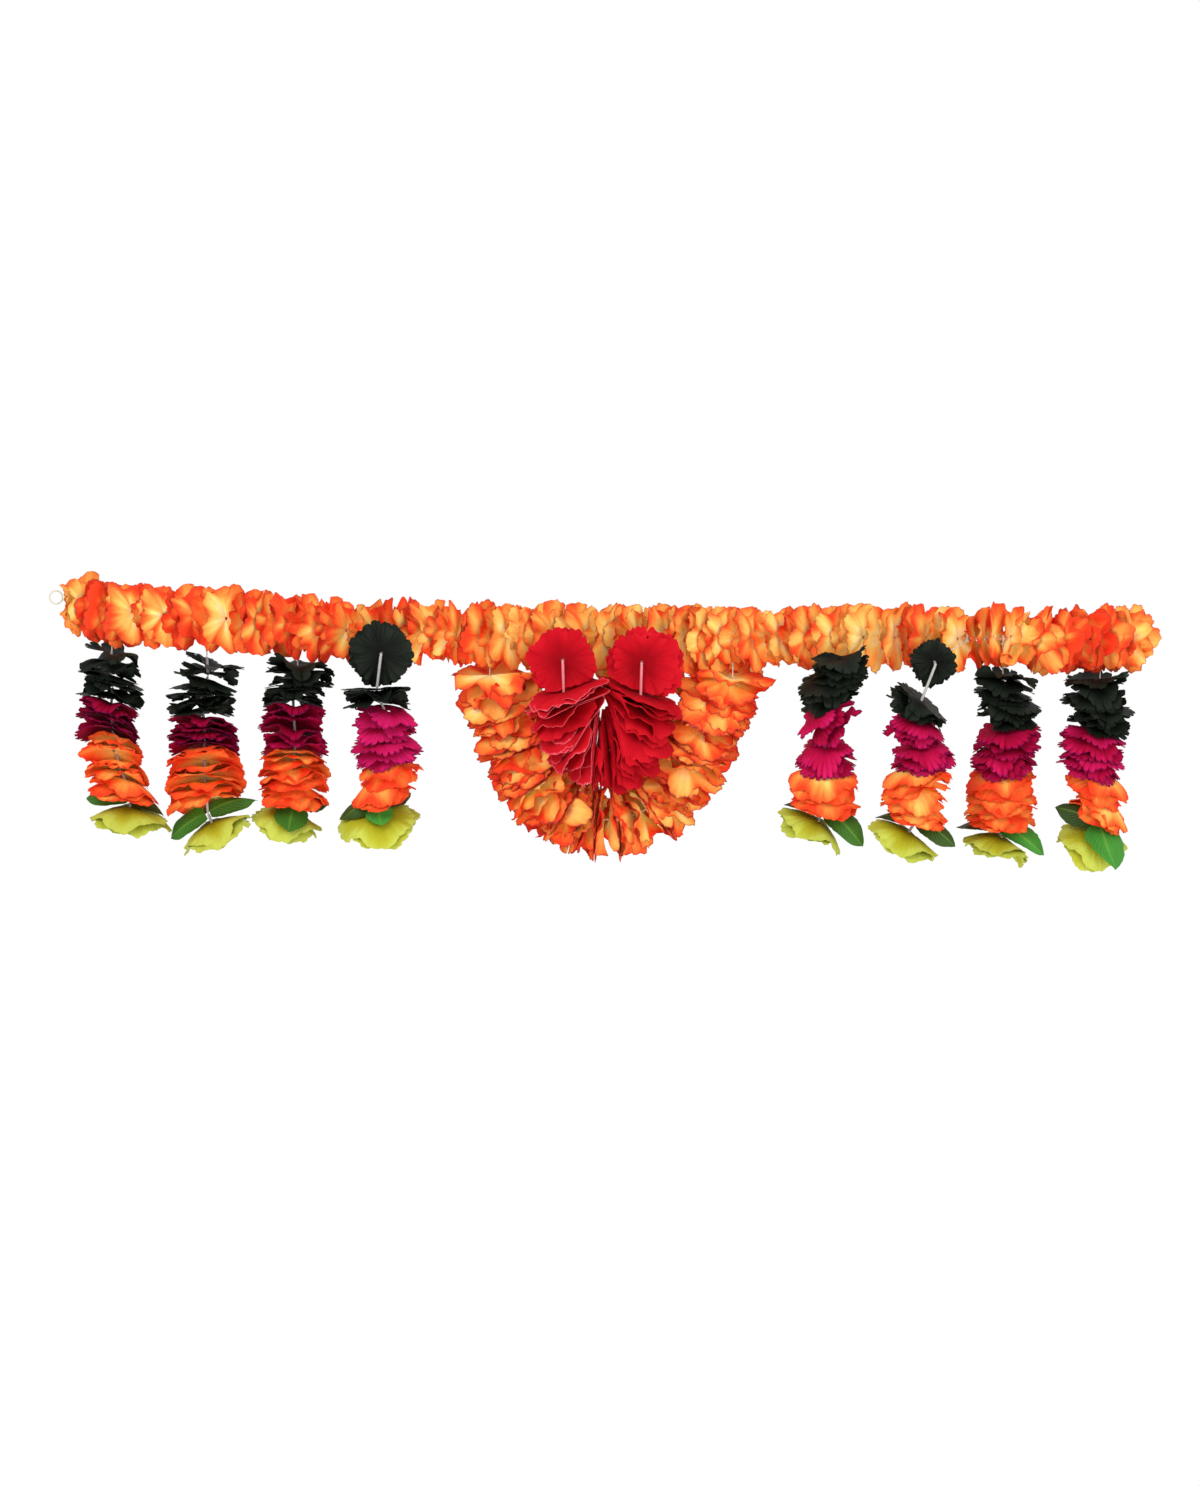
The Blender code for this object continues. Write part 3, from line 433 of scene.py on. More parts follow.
def separators_of(forms, bends, ties=(), sway=0):
    """A slightly cupped sheet between each two neighbours. It is flat, and turned as TIES says, where a
    strand is tied on. It lies along the lower disc where the other one faces the viewer and the string bends
    between them."""
    found = []
    for number, (first, second) in enumerate(zip(forms, forms[1:])):
        tie = next((name for name in ties if first.centre.x < tie_point(name).x < second.centre.x), None)
        if tie is not None:
            yaw = math.radians(TIES[tie][-1])
            axis = Vector((math.cos(yaw), -math.sin(yaw), 0))
            found.append(Separator(tie_point(tie), axis, 0, 0, LINE_ROW.radius, TIE_MARGIN))
        elif number in bends:
            upper_first = first.centre.z > second.centre.z
            lower = second if upper_first else first
            point = lower.centre - lower.normal * (LOWER_DISC_STEP if upper_first else -LOWER_DISC_STEP)
            found.append(Separator(point, lower.normal, 0, 0, lower.radius, SEPARATOR_MARGIN))
        else:
            middle = (first.centre + second.centre) / 2
            axis = (first.normal + second.normal).normalized()
            cup = (first.cup + second.cup) / 2
            found.append(Separator(middle, axis, cup, sway * (-1) ** number, first.radius, SEPARATOR_MARGIN))
    return found


def softly_off(spare):
    """How far to move points off a sheet that have so much to spare from it."""
    return SOFTNESS * np.logaddexp(0, spare / SOFTNESS) - spare


def kept_apart(points, number, separators, on_line, above=0, below=0):
    """The points of form number, clear of its neighbours on the string and of the line's discs. They stay
    further off by a step for each cloth of the same flower that lies above or below them."""
    for turn in range(SEPARATOR_PASSES):
        for place in range(max(0, number - NEIGHBOURS), min(len(separators), number + NEIGHBOURS)):
            separator = separators[place]
            axis = np.array(separator.axis)
            offset = points - np.array(separator.point)
            height = offset @ axis
            spread = np.linalg.norm(offset - height[..., None] * axis, axis=-1)
            forward = offset @ np.array(plane_axes(separator.axis, VIEWER)[0])
            limit = (separator.cup * spread ** 2 + separator.sway * forward ** 2) / separator.reach ** 2
            before = place >= number
            side = 1 if before else -1
            spare = side * (limit - height) - separator.margin - LAYER_STEP * (below if before else above)
            move = softly_off(spare) if turn == 0 else np.maximum(0, -spare)
            points = points - (side * move)[..., None] * axis
        if not on_line:
            points = clear_of_line(points, LAYER_STEP * above)
    return points


# What hangs under the line stays this far below its string, up to UNDER_WIDTH to its front and back. From
# there the limit rises by CEILING_SLOPE
UNDER_LINE = -15 * MM
UNDER_WIDTH = 20 * MM
CEILING_SLOPE = 2.5


def clear_of_line(points, step):
    """The points pushed straight out of the round space that the line's discs fill, and down or to the front
    of it before that."""
    x = points[..., 0]
    above_line = points[..., 2] - line_heights(x)
    ceiling = UNDER_LINE + CEILING_SLOPE * np.maximum(0, np.abs(points[..., 1]) - UNDER_WIDTH)
    lowered = np.maximum(0, above_line - ceiling)
    points = points - lowered[..., None] * np.array(UP)
    outward = np.stack([np.zeros_like(x), points[..., 1], above_line - lowered], -1)
    reach = np.maximum(np.linalg.norm(outward, axis=-1), MM)
    inside = (x > LINE[0].x) & (x < LINE[-1].x)
    push = np.where(inside, np.maximum(0, LINE_CLEARANCE + step - reach), 0)
    return points + outward / reach[..., None] * push[..., None]


# Cloth surfaces

LINE_FINISH = Finish(
    layers=3, steps=76, size=1.0, longer=(0, 0, 0), spread=0.85, bulge=4 * MM, petal=8 * MM, uneven=0.14,
    folds=(3, 5), fold=4 * MM, ruffles=(11, 15), ruffle=1.4 * MM, curl=5 * MM, notch=0.22, slits=25,
    slit=0.05, finger=1.2 * MM, teeth=1.2 * MM, pleat=0.35 * MM,
)
FINISHES = {
    "line": LINE_FINISH,
    "outer": LINE_FINISH._replace(
        layers=4, size=1.02, spread=1.5, petal=12 * MM, fold=6 * MM, ruffle=2.4 * MM, curl=8 * MM,
    ),
    "inner": LINE_FINISH._replace(
        steps=84, size=1.1, spread=1.05, bulge=2.5 * MM, petal=4 * MM, uneven=0.07, folds=(4, 6), curl=3 * MM,
        notch=0.10, slit=0.04, finger=1.0 * MM, teeth=0.9 * MM,
    ),
    "dark": LINE_FINISH._replace(
        layers=4, steps=108, spread=1.0, bulge=2 * MM, petal=7 * MM, uneven=0.10, fold=4.5 * MM,
        ruffle=0.8 * MM, curl=4 * MM, notch=0.05, slits=18, slit=0.14, finger=3 * MM,
    ),
    "magenta": LINE_FINISH._replace(
        steps=112, spread=0.8, bulge=2.5 * MM, petal=4 * MM, uneven=0.08, fold=3 * MM, ruffle=1.2 * MM,
        curl=4 * MM, notch=0.09, slits=28, slit=0.12, finger=1.6 * MM, teeth=1.0 * MM,
    ),
    "orange": LINE_FINISH._replace(
        steps=84, spread=0.8, bulge=3 * MM, petal=5 * MM, uneven=0.08, fold=3 * MM, ruffle=1.4 * MM,
        curl=4 * MM, notch=0.10, slit=0.04, finger=1.0 * MM, teeth=1.0 * MM,
    ),
    "lime": LINE_FINISH._replace(
        layers=2, steps=96, spread=0.3, bulge=1.5 * MM, petal=2.5 * MM, uneven=0.08, folds=(2, 4),
        fold=2.5 * MM, ruffles=(9, 12), ruffle=1.2 * MM, curl=2 * MM, notch=0.06, slits=22, finger=1.0 * MM,
    ),
}
# Flowers that are cut otherwise than the rest of their kind: their seeds and what differs
CUT_OTHERWISE = (
    # On the line, some have narrow petals with long tips, and those behind the inner swag hang lower
    (range(LINE_SEED + 8, LINE_SEED + 14), {"slits": 11, "slit": 0.24, "finger": 4 * MM, "uneven": 0.18}),
    (range(LINE_SEED + 17, LINE_SEED + 23), {"longer": (0, 0, -0.38)}),
    # The swags' flowers are larger or wider here and there, and longer towards each other
    ((OUTER_SEED, OUTER_SEED + 1), {"size": 1.08, "longer": (0.15, 0, 0)}),
    ((OUTER_SEED + 19, OUTER_SEED + 20), {"size": 1.08, "longer": (-0.2, 0, 0)}),
    (range(INNER_SEED + 1, INNER_SEED + 4), {"longer": (0.3, 0, 0.1)}),
    (range(INNER_SEED + 4, INNER_SEED + 7), {"spread": 1.8, "bulge": 4 * MM}),
    (range(INNER_SEED + 7, INNER_SEED + 12), {"size": 1.16}),
    (range(INNER_SEED + 9, INNER_SEED + 12), {"longer": (-0.3, 0, 0.1)}),
    ((INNER_SEED + 12,), {"size": 1.14, "longer": (0.1, 0, -0.15)}),
    # Strands that hang straight under the line start with a wide flower. Strand 2's dark ones are fringed
    ([strand_seed(strand, 0) for strand in (1, 3, 7, 8)], {"spread": 1.7}),
    ((strand_seed(2, 0), strand_seed(2, 1)), {"slit": 0.26, "finger": 4 * MM}),
    ((strand_seed(2, 0),), {"spread": 1.4}),
    # A few lie flatter
    ((strand_seed(2, 6), strand_seed(2, 8)), {"petal": 2 * MM, "curl": 0, "fold": 1.5 * MM}),
    ((strand_seed(5, 0),), {"petal": 2 * MM, "finger": 1 * MM, "curl": 1 * MM, "fold": 1.5 * MM}),
)
# A flower faces the viewer where the cosine of the angle between its axis and the line of sight is over
# FACING. It is flatter, so that the string passes in front of it, and more pleated
FACING = 0.9
FACING_CUT = {
    "spread": 0.25, "fold": 4 * MM, "ruffle": 2 * MM, "slit": 0.07, "pleat": 1.0 * MM, "uneven": 0.12,
    "petal": 3 * MM,
}

# Each cloth of a flower is made of rings of points, closer together near the rim
DISC_RINGS = 6
RING_SPACING = 0.85
# It has five broad petals, broad waves, fine pleats and narrow slits
PETALS = 5
WAVES = 3
PLEATS = 28
SLIT_SHARPNESS = 3
NOTCH_KEPT = 0.35
# All cloths of a flower are turned by up to MOST_TWIST degrees, and bent by a share of its wave
MOST_TWIST = 12
BENDS = (0.4, 1.0)
# Each cloth has its own seed and size, its petals are shifted round it, and they and its teeth differ in
# length
SEEDS_PER_FLOWER = 10
CLOTH_SIZES = (0.94, 1.0)
PETAL_SHIFT = 0.25
PETAL_LENGTHS = (-1, 0.6)
TOOTH_LENGTHS = (-1, 0.35)
# The cloths of one flower part by this share of their spread where the string passes. Round it, they part
# and fold unevenly
HUB_SPREAD = 0.55
UNEVEN_PARTING = 0.2
UNEVEN_FOLDS = 0.3
# How each kind of bend or cut grows towards the rim: the power of a point's share of the radius
TOWARDS_RIM = {
    "parting": 0.8, "wave": 2, "fold": 1.6, "bulge": 1.4, "petal": 1.6, "finger": 4, "ruffle": 4, "curl": 5,
    "pleat": 1, "slit": 1.5, "teeth": 14,
}


def plane_axes(normal, nearest):
    """Two axes square to normal, the first of them nearest to the given direction."""
    across = (nearest - normal * nearest.dot(normal)).normalized()
    return across, normal.cross(across)


def from_one_to_next(place, values):
    """Runs smoothly from each of the values to the next. place is 0, 1, 2 and on where each value holds."""
    number = np.floor(place).astype(int)
    share = place - number
    share = share * share * (3 - 2 * share)
    values = np.array(values)
    return values[number % len(values)] * (1 - share) + values[(number + 1) % len(values)] * share


def finish_of(kind, disc):
    """How a flower is cut and gathered."""
    finish = FINISHES[kind]
    for seeds, changes in CUT_OTHERWISE:
        if disc.seed in seeds:
            finish = finish._replace(**changes)
    return finish._replace(**FACING_CUT) if abs(disc.normal.dot(VIEWER)) > FACING else finish


def disc_layer(disc, side, finish, layer, room):
    """Middle surface of one cloth of a flower as rings of points, each point's place on the flat cloth, and
    how near it is to the valley between two petals, from 0 to 1. room is what the flower has along the
    string. All cloths of a flower that faces the viewer part to the front."""
    draw = random.Random(disc.seed)
    twist = math.radians(draw.uniform(-MOST_TWIST, MOST_TWIST))
    bend = draw.uniform(*BENDS) * disc.wave
    bend_turn = draw.uniform(0, math.pi)
    folds = draw.randint(*finish.folds)
    fold_turn, uneven_turn = draw.uniform(0, math.tau), draw.uniform(0, math.tau)
    own = random.Random(disc.seed * SEEDS_PER_FLOWER + layer)
    ruffles = own.randint(*finish.ruffles)
    ruffle_turn, curl_turn, pleat_turn = (own.uniform(0, math.tau) for _ in range(3))
    petal_shift = own.uniform(-PETAL_SHIFT, PETAL_SHIFT)
    size = finish.size * own.uniform(*CLOTH_SIZES)
    petals = [(own.uniform(-1, 1), own.uniform(*PETAL_LENGTHS)) for _ in range(PETALS)]
    fingers = [own.uniform(-1, 1) for _ in range(finish.slits)]
    teeth = np.array([own.uniform(*TOOTH_LENGTHS) for _ in range(finish.steps)])[None, :]
    across, along = (np.array(axis) for axis in plane_axes(disc.normal, side))

    angle = np.linspace(0, math.tau, finish.steps, endpoint=False)[None, :]
    hole = TUBE_RADIUS / disc.radius
    share = (hole + (1 - hole) * np.linspace(0, 1, DISC_RINGS) ** RING_SPACING)[:, None]
    rise = {name: share ** power for name, power in TOWARDS_RIM.items()}
    petal_turn = PETALS * angle / 2 + petal_shift * np.sin(angle) + layer * math.pi / finish.layers
    valley = np.sin(petal_turn) ** 2
    petal_height, petal_length = (from_one_to_next(petal_turn / math.pi, values) for values in zip(*petals))
    finger_place = finish.slits * angle / math.tau
    finger_height = from_one_to_next(finger_place - 0.5, fingers)
    slits = np.maximum(0, np.cos(math.tau * finger_place)) ** SLIT_SHARPNESS

    facing = disc.normal.dot(VIEWER)
    level = layer / max(1, finish.layers - 1) - 0.5
    forward = math.copysign(0.5, facing) if abs(facing) > FACING else 0
    parting = rise["parting"] * (1 + UNEVEN_PARTING * np.sin(2 * angle + curl_turn))
    uneven_fold = 1 - UNEVEN_FOLDS + UNEVEN_FOLDS * np.sin(angle + uneven_turn)
    bends = {
        "wave": disc.cup + disc.wave * np.cos(WAVES * angle) + bend * np.cos(2 * angle - bend_turn),
        "fold": finish.fold * uneven_fold * np.sin(folds * angle + fold_turn),
        "bulge": finish.bulge * (1 - 2 * valley),
        "petal": finish.petal * petal_height,
        "finger": finish.finger * finger_height,
        "ruffle": finish.ruffle * np.sin(ruffles * angle + ruffle_turn + share),
        "curl": finish.curl * np.sin(angle + curl_turn) * math.copysign(1, level),
        "pleat": finish.pleat * np.sin(PLEATS * angle + pleat_turn),
    }
    height = finish.spread * room * (level + forward) * (HUB_SPREAD + (1 - HUB_SPREAD) * parting)
    height = height + sum(bent * rise[name] for name, bent in bends.items())

    notch = (finish.notch * valley ** 2 + NOTCH_KEPT * disc.notch * valley) * share
    longer = finish.uneven * petal_length * share
    reach = disc.radius * size * share * (1 - notch + longer - finish.slit * slits * rise["slit"])
    reach = reach + finish.teeth * teeth * rise["teeth"]
    turned = angle + twist
    outward = np.cos(turned)[..., None] * across + np.sin(turned)[..., None] * along
    reach = reach * (1 + np.maximum(0, outward @ np.array(finish.longer)))
    points = np.array(disc.centre) + height[..., None] * np.array(disc.normal)
    points = points + reach[..., None] * outward
    flat = np.stack([share * np.cos(angle), share * np.sin(angle)], -1)
    return points, flat, valley * np.ones_like(share)


LEAF_ROWS = 18
LEAF_COLUMNS = 9
# A leaf starts at a share of its length from the string, on a stalk. LEAF_WIDTH is half its width as a share
# of its length, and the two powers shape its outline
LEAF_FROM = 0.05
LEAF_STALK = 1.2 * MM
LEAF_WIDTH = 0.36
LEAF_OUTLINE = (0.85, 0.8)
LEAF_TEETH = (0.86, 1.0)
# One that points to the front is longer and hangs. One that points to a side is tilted
LEAF_GROWTH = 0.6
LEAF_HANG = math.radians(32)
LEAF_TILT = math.radians(52)
# Its halves are folded along the midrib, and its edges ripple
LEAF_FOLD = 0.3
LEAF_RIPPLE = 0.8 * MM
LEAF_RIPPLES = 1.5


def leaf_surface(whorl, side, turn, length, draw):
    """Middle surface of one pointed leaf, from its root to its tip, and each point's place on it. A leaf
    that points to the left or right lowers its front edge, and one that points to the front its tip."""
    across, along = plane_axes(whorl.normal, side)
    level = Vector((math.cos(turn), math.sin(turn), 0))
    flat_turn = math.atan2(level.dot(along), level.dot(across))
    outward = np.array(across * math.cos(flat_turn) + along * math.sin(flat_turn))
    normal = np.array(whorl.normal)
    frontal = max(0, outward @ np.array(VIEWER))
    length = length * (1 + LEAF_GROWTH * frontal)
    hang = LEAF_HANG * frontal
    sideways = np.cross(normal, outward)
    outward = outward * math.cos(hang) + normal * math.sin(hang)
    normal = np.cross(outward, sideways)
    tilt = LEAF_TILT * (sideways @ np.array(VIEWER))
    sideways = sideways * math.cos(tilt) + normal * math.sin(tilt)
    normal = np.cross(outward, sideways)
    way = np.linspace(LEAF_FROM, 1, LEAF_ROWS)[:, None]
    side = np.linspace(-1, 1, LEAF_COLUMNS)[None, :]
    fullest, fullness = LEAF_OUTLINE
    width = LEAF_WIDTH * length * np.sin(math.pi * way ** fullest) ** fullness + LEAF_STALK * (1 - way)
    teeth = np.array([draw.uniform(*LEAF_TEETH) for _ in range(LEAF_ROWS)])[:, None]
    width = width * np.where(np.abs(side) == 1, teeth, 1)
    ripple_turn = draw.uniform(0, math.tau)
    ripple = np.abs(side) * np.sin(LEAF_RIPPLES * math.tau * way + ripple_turn + side)
    height = whorl.cup * way ** 2 - LEAF_FOLD * width * (1 - np.abs(side)) + LEAF_RIPPLE * ripple
    points = np.array(whorl.centre) + (length * way * np.ones_like(side))[..., None] * outward
    points = points + (width * side)[..., None] * sideways + height[..., None] * normal
    flat = np.stack([way * np.ones_like(side), side * np.ones_like(way)], -1)
    return points, flat


# Meshes

def placed(name, data):
    """An object with this data, in the scene."""
    made = bpy.data.objects.new(name, data)
    bpy.context.scene.collection.objects.link(made)
    return made


# Faces that meet at more than this angle have a hard edge between them
HARD_EDGE = math.radians(70)
# A vector that is shorter than this has no direction
SHORTEST = 1e-12


class Shape:
    """Corners, faces and cloth places that gather into one mesh."""

    def __init__(self):
        self.points, self.faces, self.flats, self.tones, self.valleys = [], [], [], [], []
        self.count = 0

    def add(self, points, faces, flats, tone=0, valleys=0):
        """Adds points with their sets of faces. flats are their places on the flat cloth or string."""
        self.points.append(points)
        self.faces += [corners + self.count for corners in faces]
        self.flats.append(flats)
        self.tones.append(np.full(len(points), float(tone)))
        self.valleys.append(np.broadcast_to(valleys, len(points)))
        self.count += len(points)

    def made(self, name, material):
        data = bpy.data.meshes.new(name)
        faces = [face for corners in self.faces for face in corners.tolist()]
        data.from_pydata(np.concatenate(self.points).tolist(), [], faces)
        data.polygons.foreach_set("use_smooth", np.ones(len(data.polygons), bool))
        corners = np.empty(len(data.loops), np.int32)
        data.loops.foreach_get("vertex_index", corners)
        flats = np.concatenate(self.flats)[corners] * 0.5 + 0.5
        data.uv_layers.new(name="flat").uv.foreach_set("vector", flats.ravel())
        for title, values in (("tone", self.tones), ("valley", self.valleys)):
            data.attributes.new(title, "FLOAT", "POINT").data.foreach_set("value", np.concatenate(values))
        data.set_sharp_from_angle(angle=HARD_EDGE)
        data.materials.append(material)
        piece = placed(name, data)
        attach(piece, "root")
        return piece


def grid_faces(rows, columns, closed):
    """Quads of a grid; closed joins the last column to the first."""
    row = np.arange(rows - 1)[:, None] * columns
    column = np.arange(columns if closed else columns - 1)
    here, beside = row + column, row + (column + 1) % columns
    return np.stack([here, beside, beside + columns, here + columns], -1).reshape(-1, 4)


def unit(vectors):
    """The vectors with a length of 1."""
    return vectors / np.maximum(np.linalg.norm(vectors, axis=-1, keepdims=True), SHORTEST)


def surface_normals(points, closed, side):
    """Unit normals of a grid of points, on the side of the given axis."""
    if closed:
        along = np.roll(points, -1, axis=1) - np.roll(points, 1, axis=1)
    else:
        along = np.gradient(points, axis=1)
    normals = unit(np.cross(np.gradient(points, axis=0), along))
    return normals * (-1 if (normals @ np.array(side)).mean() < 0 else 1)


def thin_solid(shape, points, flat, tone, closed, side, valley=0):
    """Adds a sheet of cloth with both its faces and its edge."""
    rows, columns = points.shape[:2]
    size = rows * columns
    normals = surface_normals(points, closed, side)
    front, back = ((points + normals * shift).reshape(-1, 3) for shift in (CLOTH / 2, -CLOTH / 2))
    number = np.arange(size).reshape(rows, columns)
    if closed:
        after = np.roll(number, -1, axis=1)
        starts, ends = np.stack([number[0], after[-1]]), np.stack([after[0], number[-1]])
    else:
        starts = np.concatenate([number[0], number[1:, -1], number[-1, -2::-1], number[-2:0:-1, 0]])
        ends = np.roll(starts, -1)
    edge = np.stack([starts, ends, ends + size, starts + size], -1).reshape(-1, 4)
    quads = grid_faces(rows, columns, closed)
    faces = np.concatenate([quads[:, ::-1], quads + size, edge])
    if np.dot(np.cross(points[0, 1] - points[0, 0], points[1, 0] - points[0, 0]), normals[0, 0]) > 0:
        faces = faces[:, ::-1]
    valleys = np.tile(np.broadcast_to(valley, (rows, columns)).ravel(), 2)
    shape.add(np.concatenate([front, back]), [faces], np.tile(flat.reshape(-1, 2), (2, 1)), tone, valleys)


# Directions that no string runs along. The corners round a tube, a ring and a knot start near them
TUBE_GUIDE = np.array((0.31, 0.87, 0.38))
RING_GUIDE = Vector((0.2, 0.3, 0.93)).normalized()
KNOT_GUIDE = Vector((0.3, 0.2, 0.93)).normalized()
# A place along a string is counted in this many of its radii
STRING_UNIT = 20
# A knot's path goes twice round while it waves three times, in and out and up and down. Its reach, string and
# waves are shares of the knot's radius
KNOT_STEPS = 40
KNOT_SIDES = 7
KNOT_REACH = 0.62
KNOT_STRING = 0.36
KNOT_WAVE = 0.35
KNOT_RISE = 0.6


def circle(across, along, turns):
    """Points round a circle with a radius of 1."""
    return np.cos(turns)[:, None] * across + np.sin(turns)[:, None] * along


def tube(shape, points, radius, sides, tone=0, capped=True):
    """Adds a round tube through the points."""
    points = np.array([tuple(point) for point in points])
    walked = np.concatenate([[0], np.cumsum(np.linalg.norm(np.diff(points, axis=0), axis=-1))])
    turns = np.linspace(0, math.tau, sides, endpoint=False)
    across = TUBE_GUIDE
    rings, flats = [], []
    for point, direction, distance in zip(points, unit(np.gradient(points, axis=0)), walked):
        across = unit(across - direction * np.dot(across, direction))
        rings.append(point + radius * circle(across, np.cross(direction, across), turns))
        flats.append(np.stack([turns / math.tau, np.full(sides, distance / (STRING_UNIT * radius))], -1))
    corners, flats = np.concatenate(rings), np.concatenate(flats)
    faces = [grid_faces(len(points), sides, closed=True)]
    if capped:
        start = np.arange(sides)
        end = start + sides * (len(points) - 1)
        middle = np.full(sides, len(corners))
        faces.append(np.stack([np.roll(start, -1), start, middle], -1))
        faces.append(np.stack([end, np.roll(end, -1), middle + 1], -1))
        corners = np.concatenate([corners, points[[0, -1]]])
        flats = np.concatenate([flats, flats[[0, -1]]])
    shape.add(corners, faces, flats, tone)


def ring(shape, centre, major, minor, axis, steps=32, sides=8):
    """Adds a ring of string."""
    across, along = (np.array(side) for side in plane_axes(axis, RING_GUIDE))
    turns = np.append(np.linspace(0, math.tau, steps, endpoint=False), 0)
    rounds = np.linspace(0, math.tau, sides, endpoint=False)
    outward = circle(across, along, turns)[:, None, :]
    points = np.array(centre) + major * outward + minor * (
        np.cos(rounds)[:, None] * outward + np.sin(rounds)[:, None] * np.array(axis))
    flats = np.stack(
        np.broadcast_arrays(rounds / math.tau, turns[:, None] * major / (STRING_UNIT * minor)), -1)
    shape.add(points.reshape(-1, 3), [grid_faces(steps + 1, sides, closed=True)], flats.reshape(-1, 2))


def knot(shape, centre, radius, axis):
    """Adds a knot: a lump of crossing turns of string."""
    across, along = (np.array(side) for side in plane_axes(axis, KNOT_GUIDE))
    turns = np.linspace(0, math.tau, KNOT_STEPS)
    wave = (1 + KNOT_WAVE * np.cos(3 * turns))[:, None]
    rise = KNOT_RISE * np.sin(3 * turns)[:, None] * np.array(axis)
    path = np.array(centre) + radius * KNOT_REACH * (circle(across, along, 2 * turns) * wave + rise)
    tube(shape, path, radius * KNOT_STRING, KNOT_SIDES, capped=False)


# Strings

def with_sides(stops):
    """The stops with a side each, square to the string. It faces the viewer at the middle stop and is
    carried along both ways from there, so that the string isn't twisted where it bends."""
    middle = len(stops) // 2
    sides = {middle: plane_axes(stops[middle].direction, VIEWER)[0]}
    for place in [*range(middle + 1, len(stops)), *range(middle - 1, -1, -1)]:
        nearer = place - 1 if place > middle else place + 1
        sides[place] = plane_axes(stops[place].direction, sides[nearer])[0]
    return [stop._replace(side=sides[place]) for place, stop in enumerate(stops)]


def string_stops(start, forms, end, bends):
    """The stops of a string: its start, each form, the bends after the forms of these numbers, its end."""
    places = [(start, None, None)]
    for number, form in enumerate(forms):
        places.append((form.centre, form, number))
        if number in bends:
            places.append((bends[number], None, None))
    places.append((end, None, None))
    stops = []
    for before, (point, form, number), after in zip([places[0]] + places, places, places[1:] + [places[-1]]):
        into, out = (point - before[0]).normalized(), (after[0] - point).normalized()
        stops.append(Stop(point, (into + out).normalized(), VIEWER, form, number))
    return with_sides(stops)


def room_of(number, separators):
    """How much of the string the flower of this number has, from one neighbour's sheet to the next. The
    first and the last flower have as much as the one beside them."""
    before = min(max(0, number - 1), len(separators) - 2)
    return (separators[before + 1].point - separators[before].point).length


def on_own_arm(points, form, layer):
    """The points of a flower on one arm of the inner swag, kept on its side of the middle."""
    away = form.centre.x - FAN_CENTRE.x
    if abs(away) < ARM_FROM:
        return points
    side = math.copysign(1, away)
    spare = side * ((points - np.array(FAN_CENTRE)) @ ARMS_APART) - SEPARATOR_MARGIN - LAYER_STEP * layer
    return points + (side * softly_off(spare))[..., None] * ARMS_APART


# How far the cloths of one flower differ where it has a shade of its own
SHADE_SPREAD = 0.3
# What is added to a flower's seed where the tones of its cloths are drawn
TONE_SEED = 7


def tone_of(drawn, shade, kind, form):
    """Tone of a cloth, from one drawn between 0 and 1. The inner swag's flowers have tones over 0.5 on the
    left arm, which makes their red paler and gives their rims a painted pink highlight, under 0.5 on the
    right one, and 0 where they face the viewer."""
    if kind != "inner":
        return drawn if shade is None else shade + SHADE_SPREAD * (drawn - 0.5)
    if abs(form.normal.dot(VIEWER)) > FACING:
        return 0
    return drawn / 2 + (0.5 if form.centre.x < FAN_CENTRE.x else 0)


def add_flower(shape, name, kind, form, stop, separators):
    """Adds the cloths of one flower, from the first to the last along its string."""
    finish = finish_of(kind, form)
    room = room_of(stop.number, separators)
    shade = LINE_SHADES[stop.number] if kind == "line" else MAGENTA_SHADES.get(name)
    draw = random.Random(form.seed + TONE_SEED)
    for layer in range(finish.layers):
        points, flat, valley = disc_layer(form, stop.side, finish, layer, room)
        below = finish.layers - 1 - layer
        points = kept_apart(points, stop.number, separators, kind == "line", layer, below)
        if kind == "inner":
            points = on_own_arm(points, form, layer)
        tone = tone_of(draw.random(), shade, kind, form)
        thin_solid(shape, points, flat, tone, True, form.normal, valley)


def add_leaves(shape, name, form, stop, separators):
    """Adds the three leaves of one whorl."""
    draw = random.Random(name)
    for turn, length, shade in form.leaves:
        points, flat = leaf_surface(form, stop.side, turn, length, draw)
        points = kept_apart(points, stop.number, separators, False)
        thin_solid(shape, points, flat, shade, False, form.normal)


def group_piece(name, kind, stops, separators):
    """One piece for each coloured group of flowers or leaves."""
    shape = Shape()
    for stop in stops:
        form = stop.form
        if form.normal.dot(stop.direction) < 0:
            form = form._replace(normal=-form.normal, cup=-form.cup)
        if kind == "leaves":
            add_leaves(shape, name, form, stop, separators)
        else:
            add_flower(shape, name, kind, form, stop, separators)
    piece = shape.made(name + "_cloth", materials[kind])
    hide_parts(name)


# Spacer tubes, which take so many tones by turns. There is none where the way between two stops is too short
TUBE_RINGS = 4
TUBE_SIDES = 12
TUBE_TONES = 7
SHORTEST_WAY = 4 * TUBE_WALL_GAP
STRING_SIDES = 8
# Shares of the way from one stop to the next where the string has further points
STRING_STEPS = (0, 0.34, 0.67)


def spacer_tubes(name, stops, look):
    """Short plastic tubes on the string, with a small gap at each disc or bend."""
    shape = Shape()
    for number, (first, second) in enumerate(zip(stops, stops[1:])):
        way = second.point - first.point
        if way.length >= SHORTEST_WAY:
            gap = way.normalized() * TUBE_WALL_GAP
            path = [first.point + gap + (way - gap * 2) * share for share in np.linspace(0, 1, TUBE_RINGS)]
            tube(shape, path, TUBE_SEEN, TUBE_SIDES, number % TUBE_TONES / TUBE_TONES)
    piece = shape.made(name + "_tubes", materials[look])


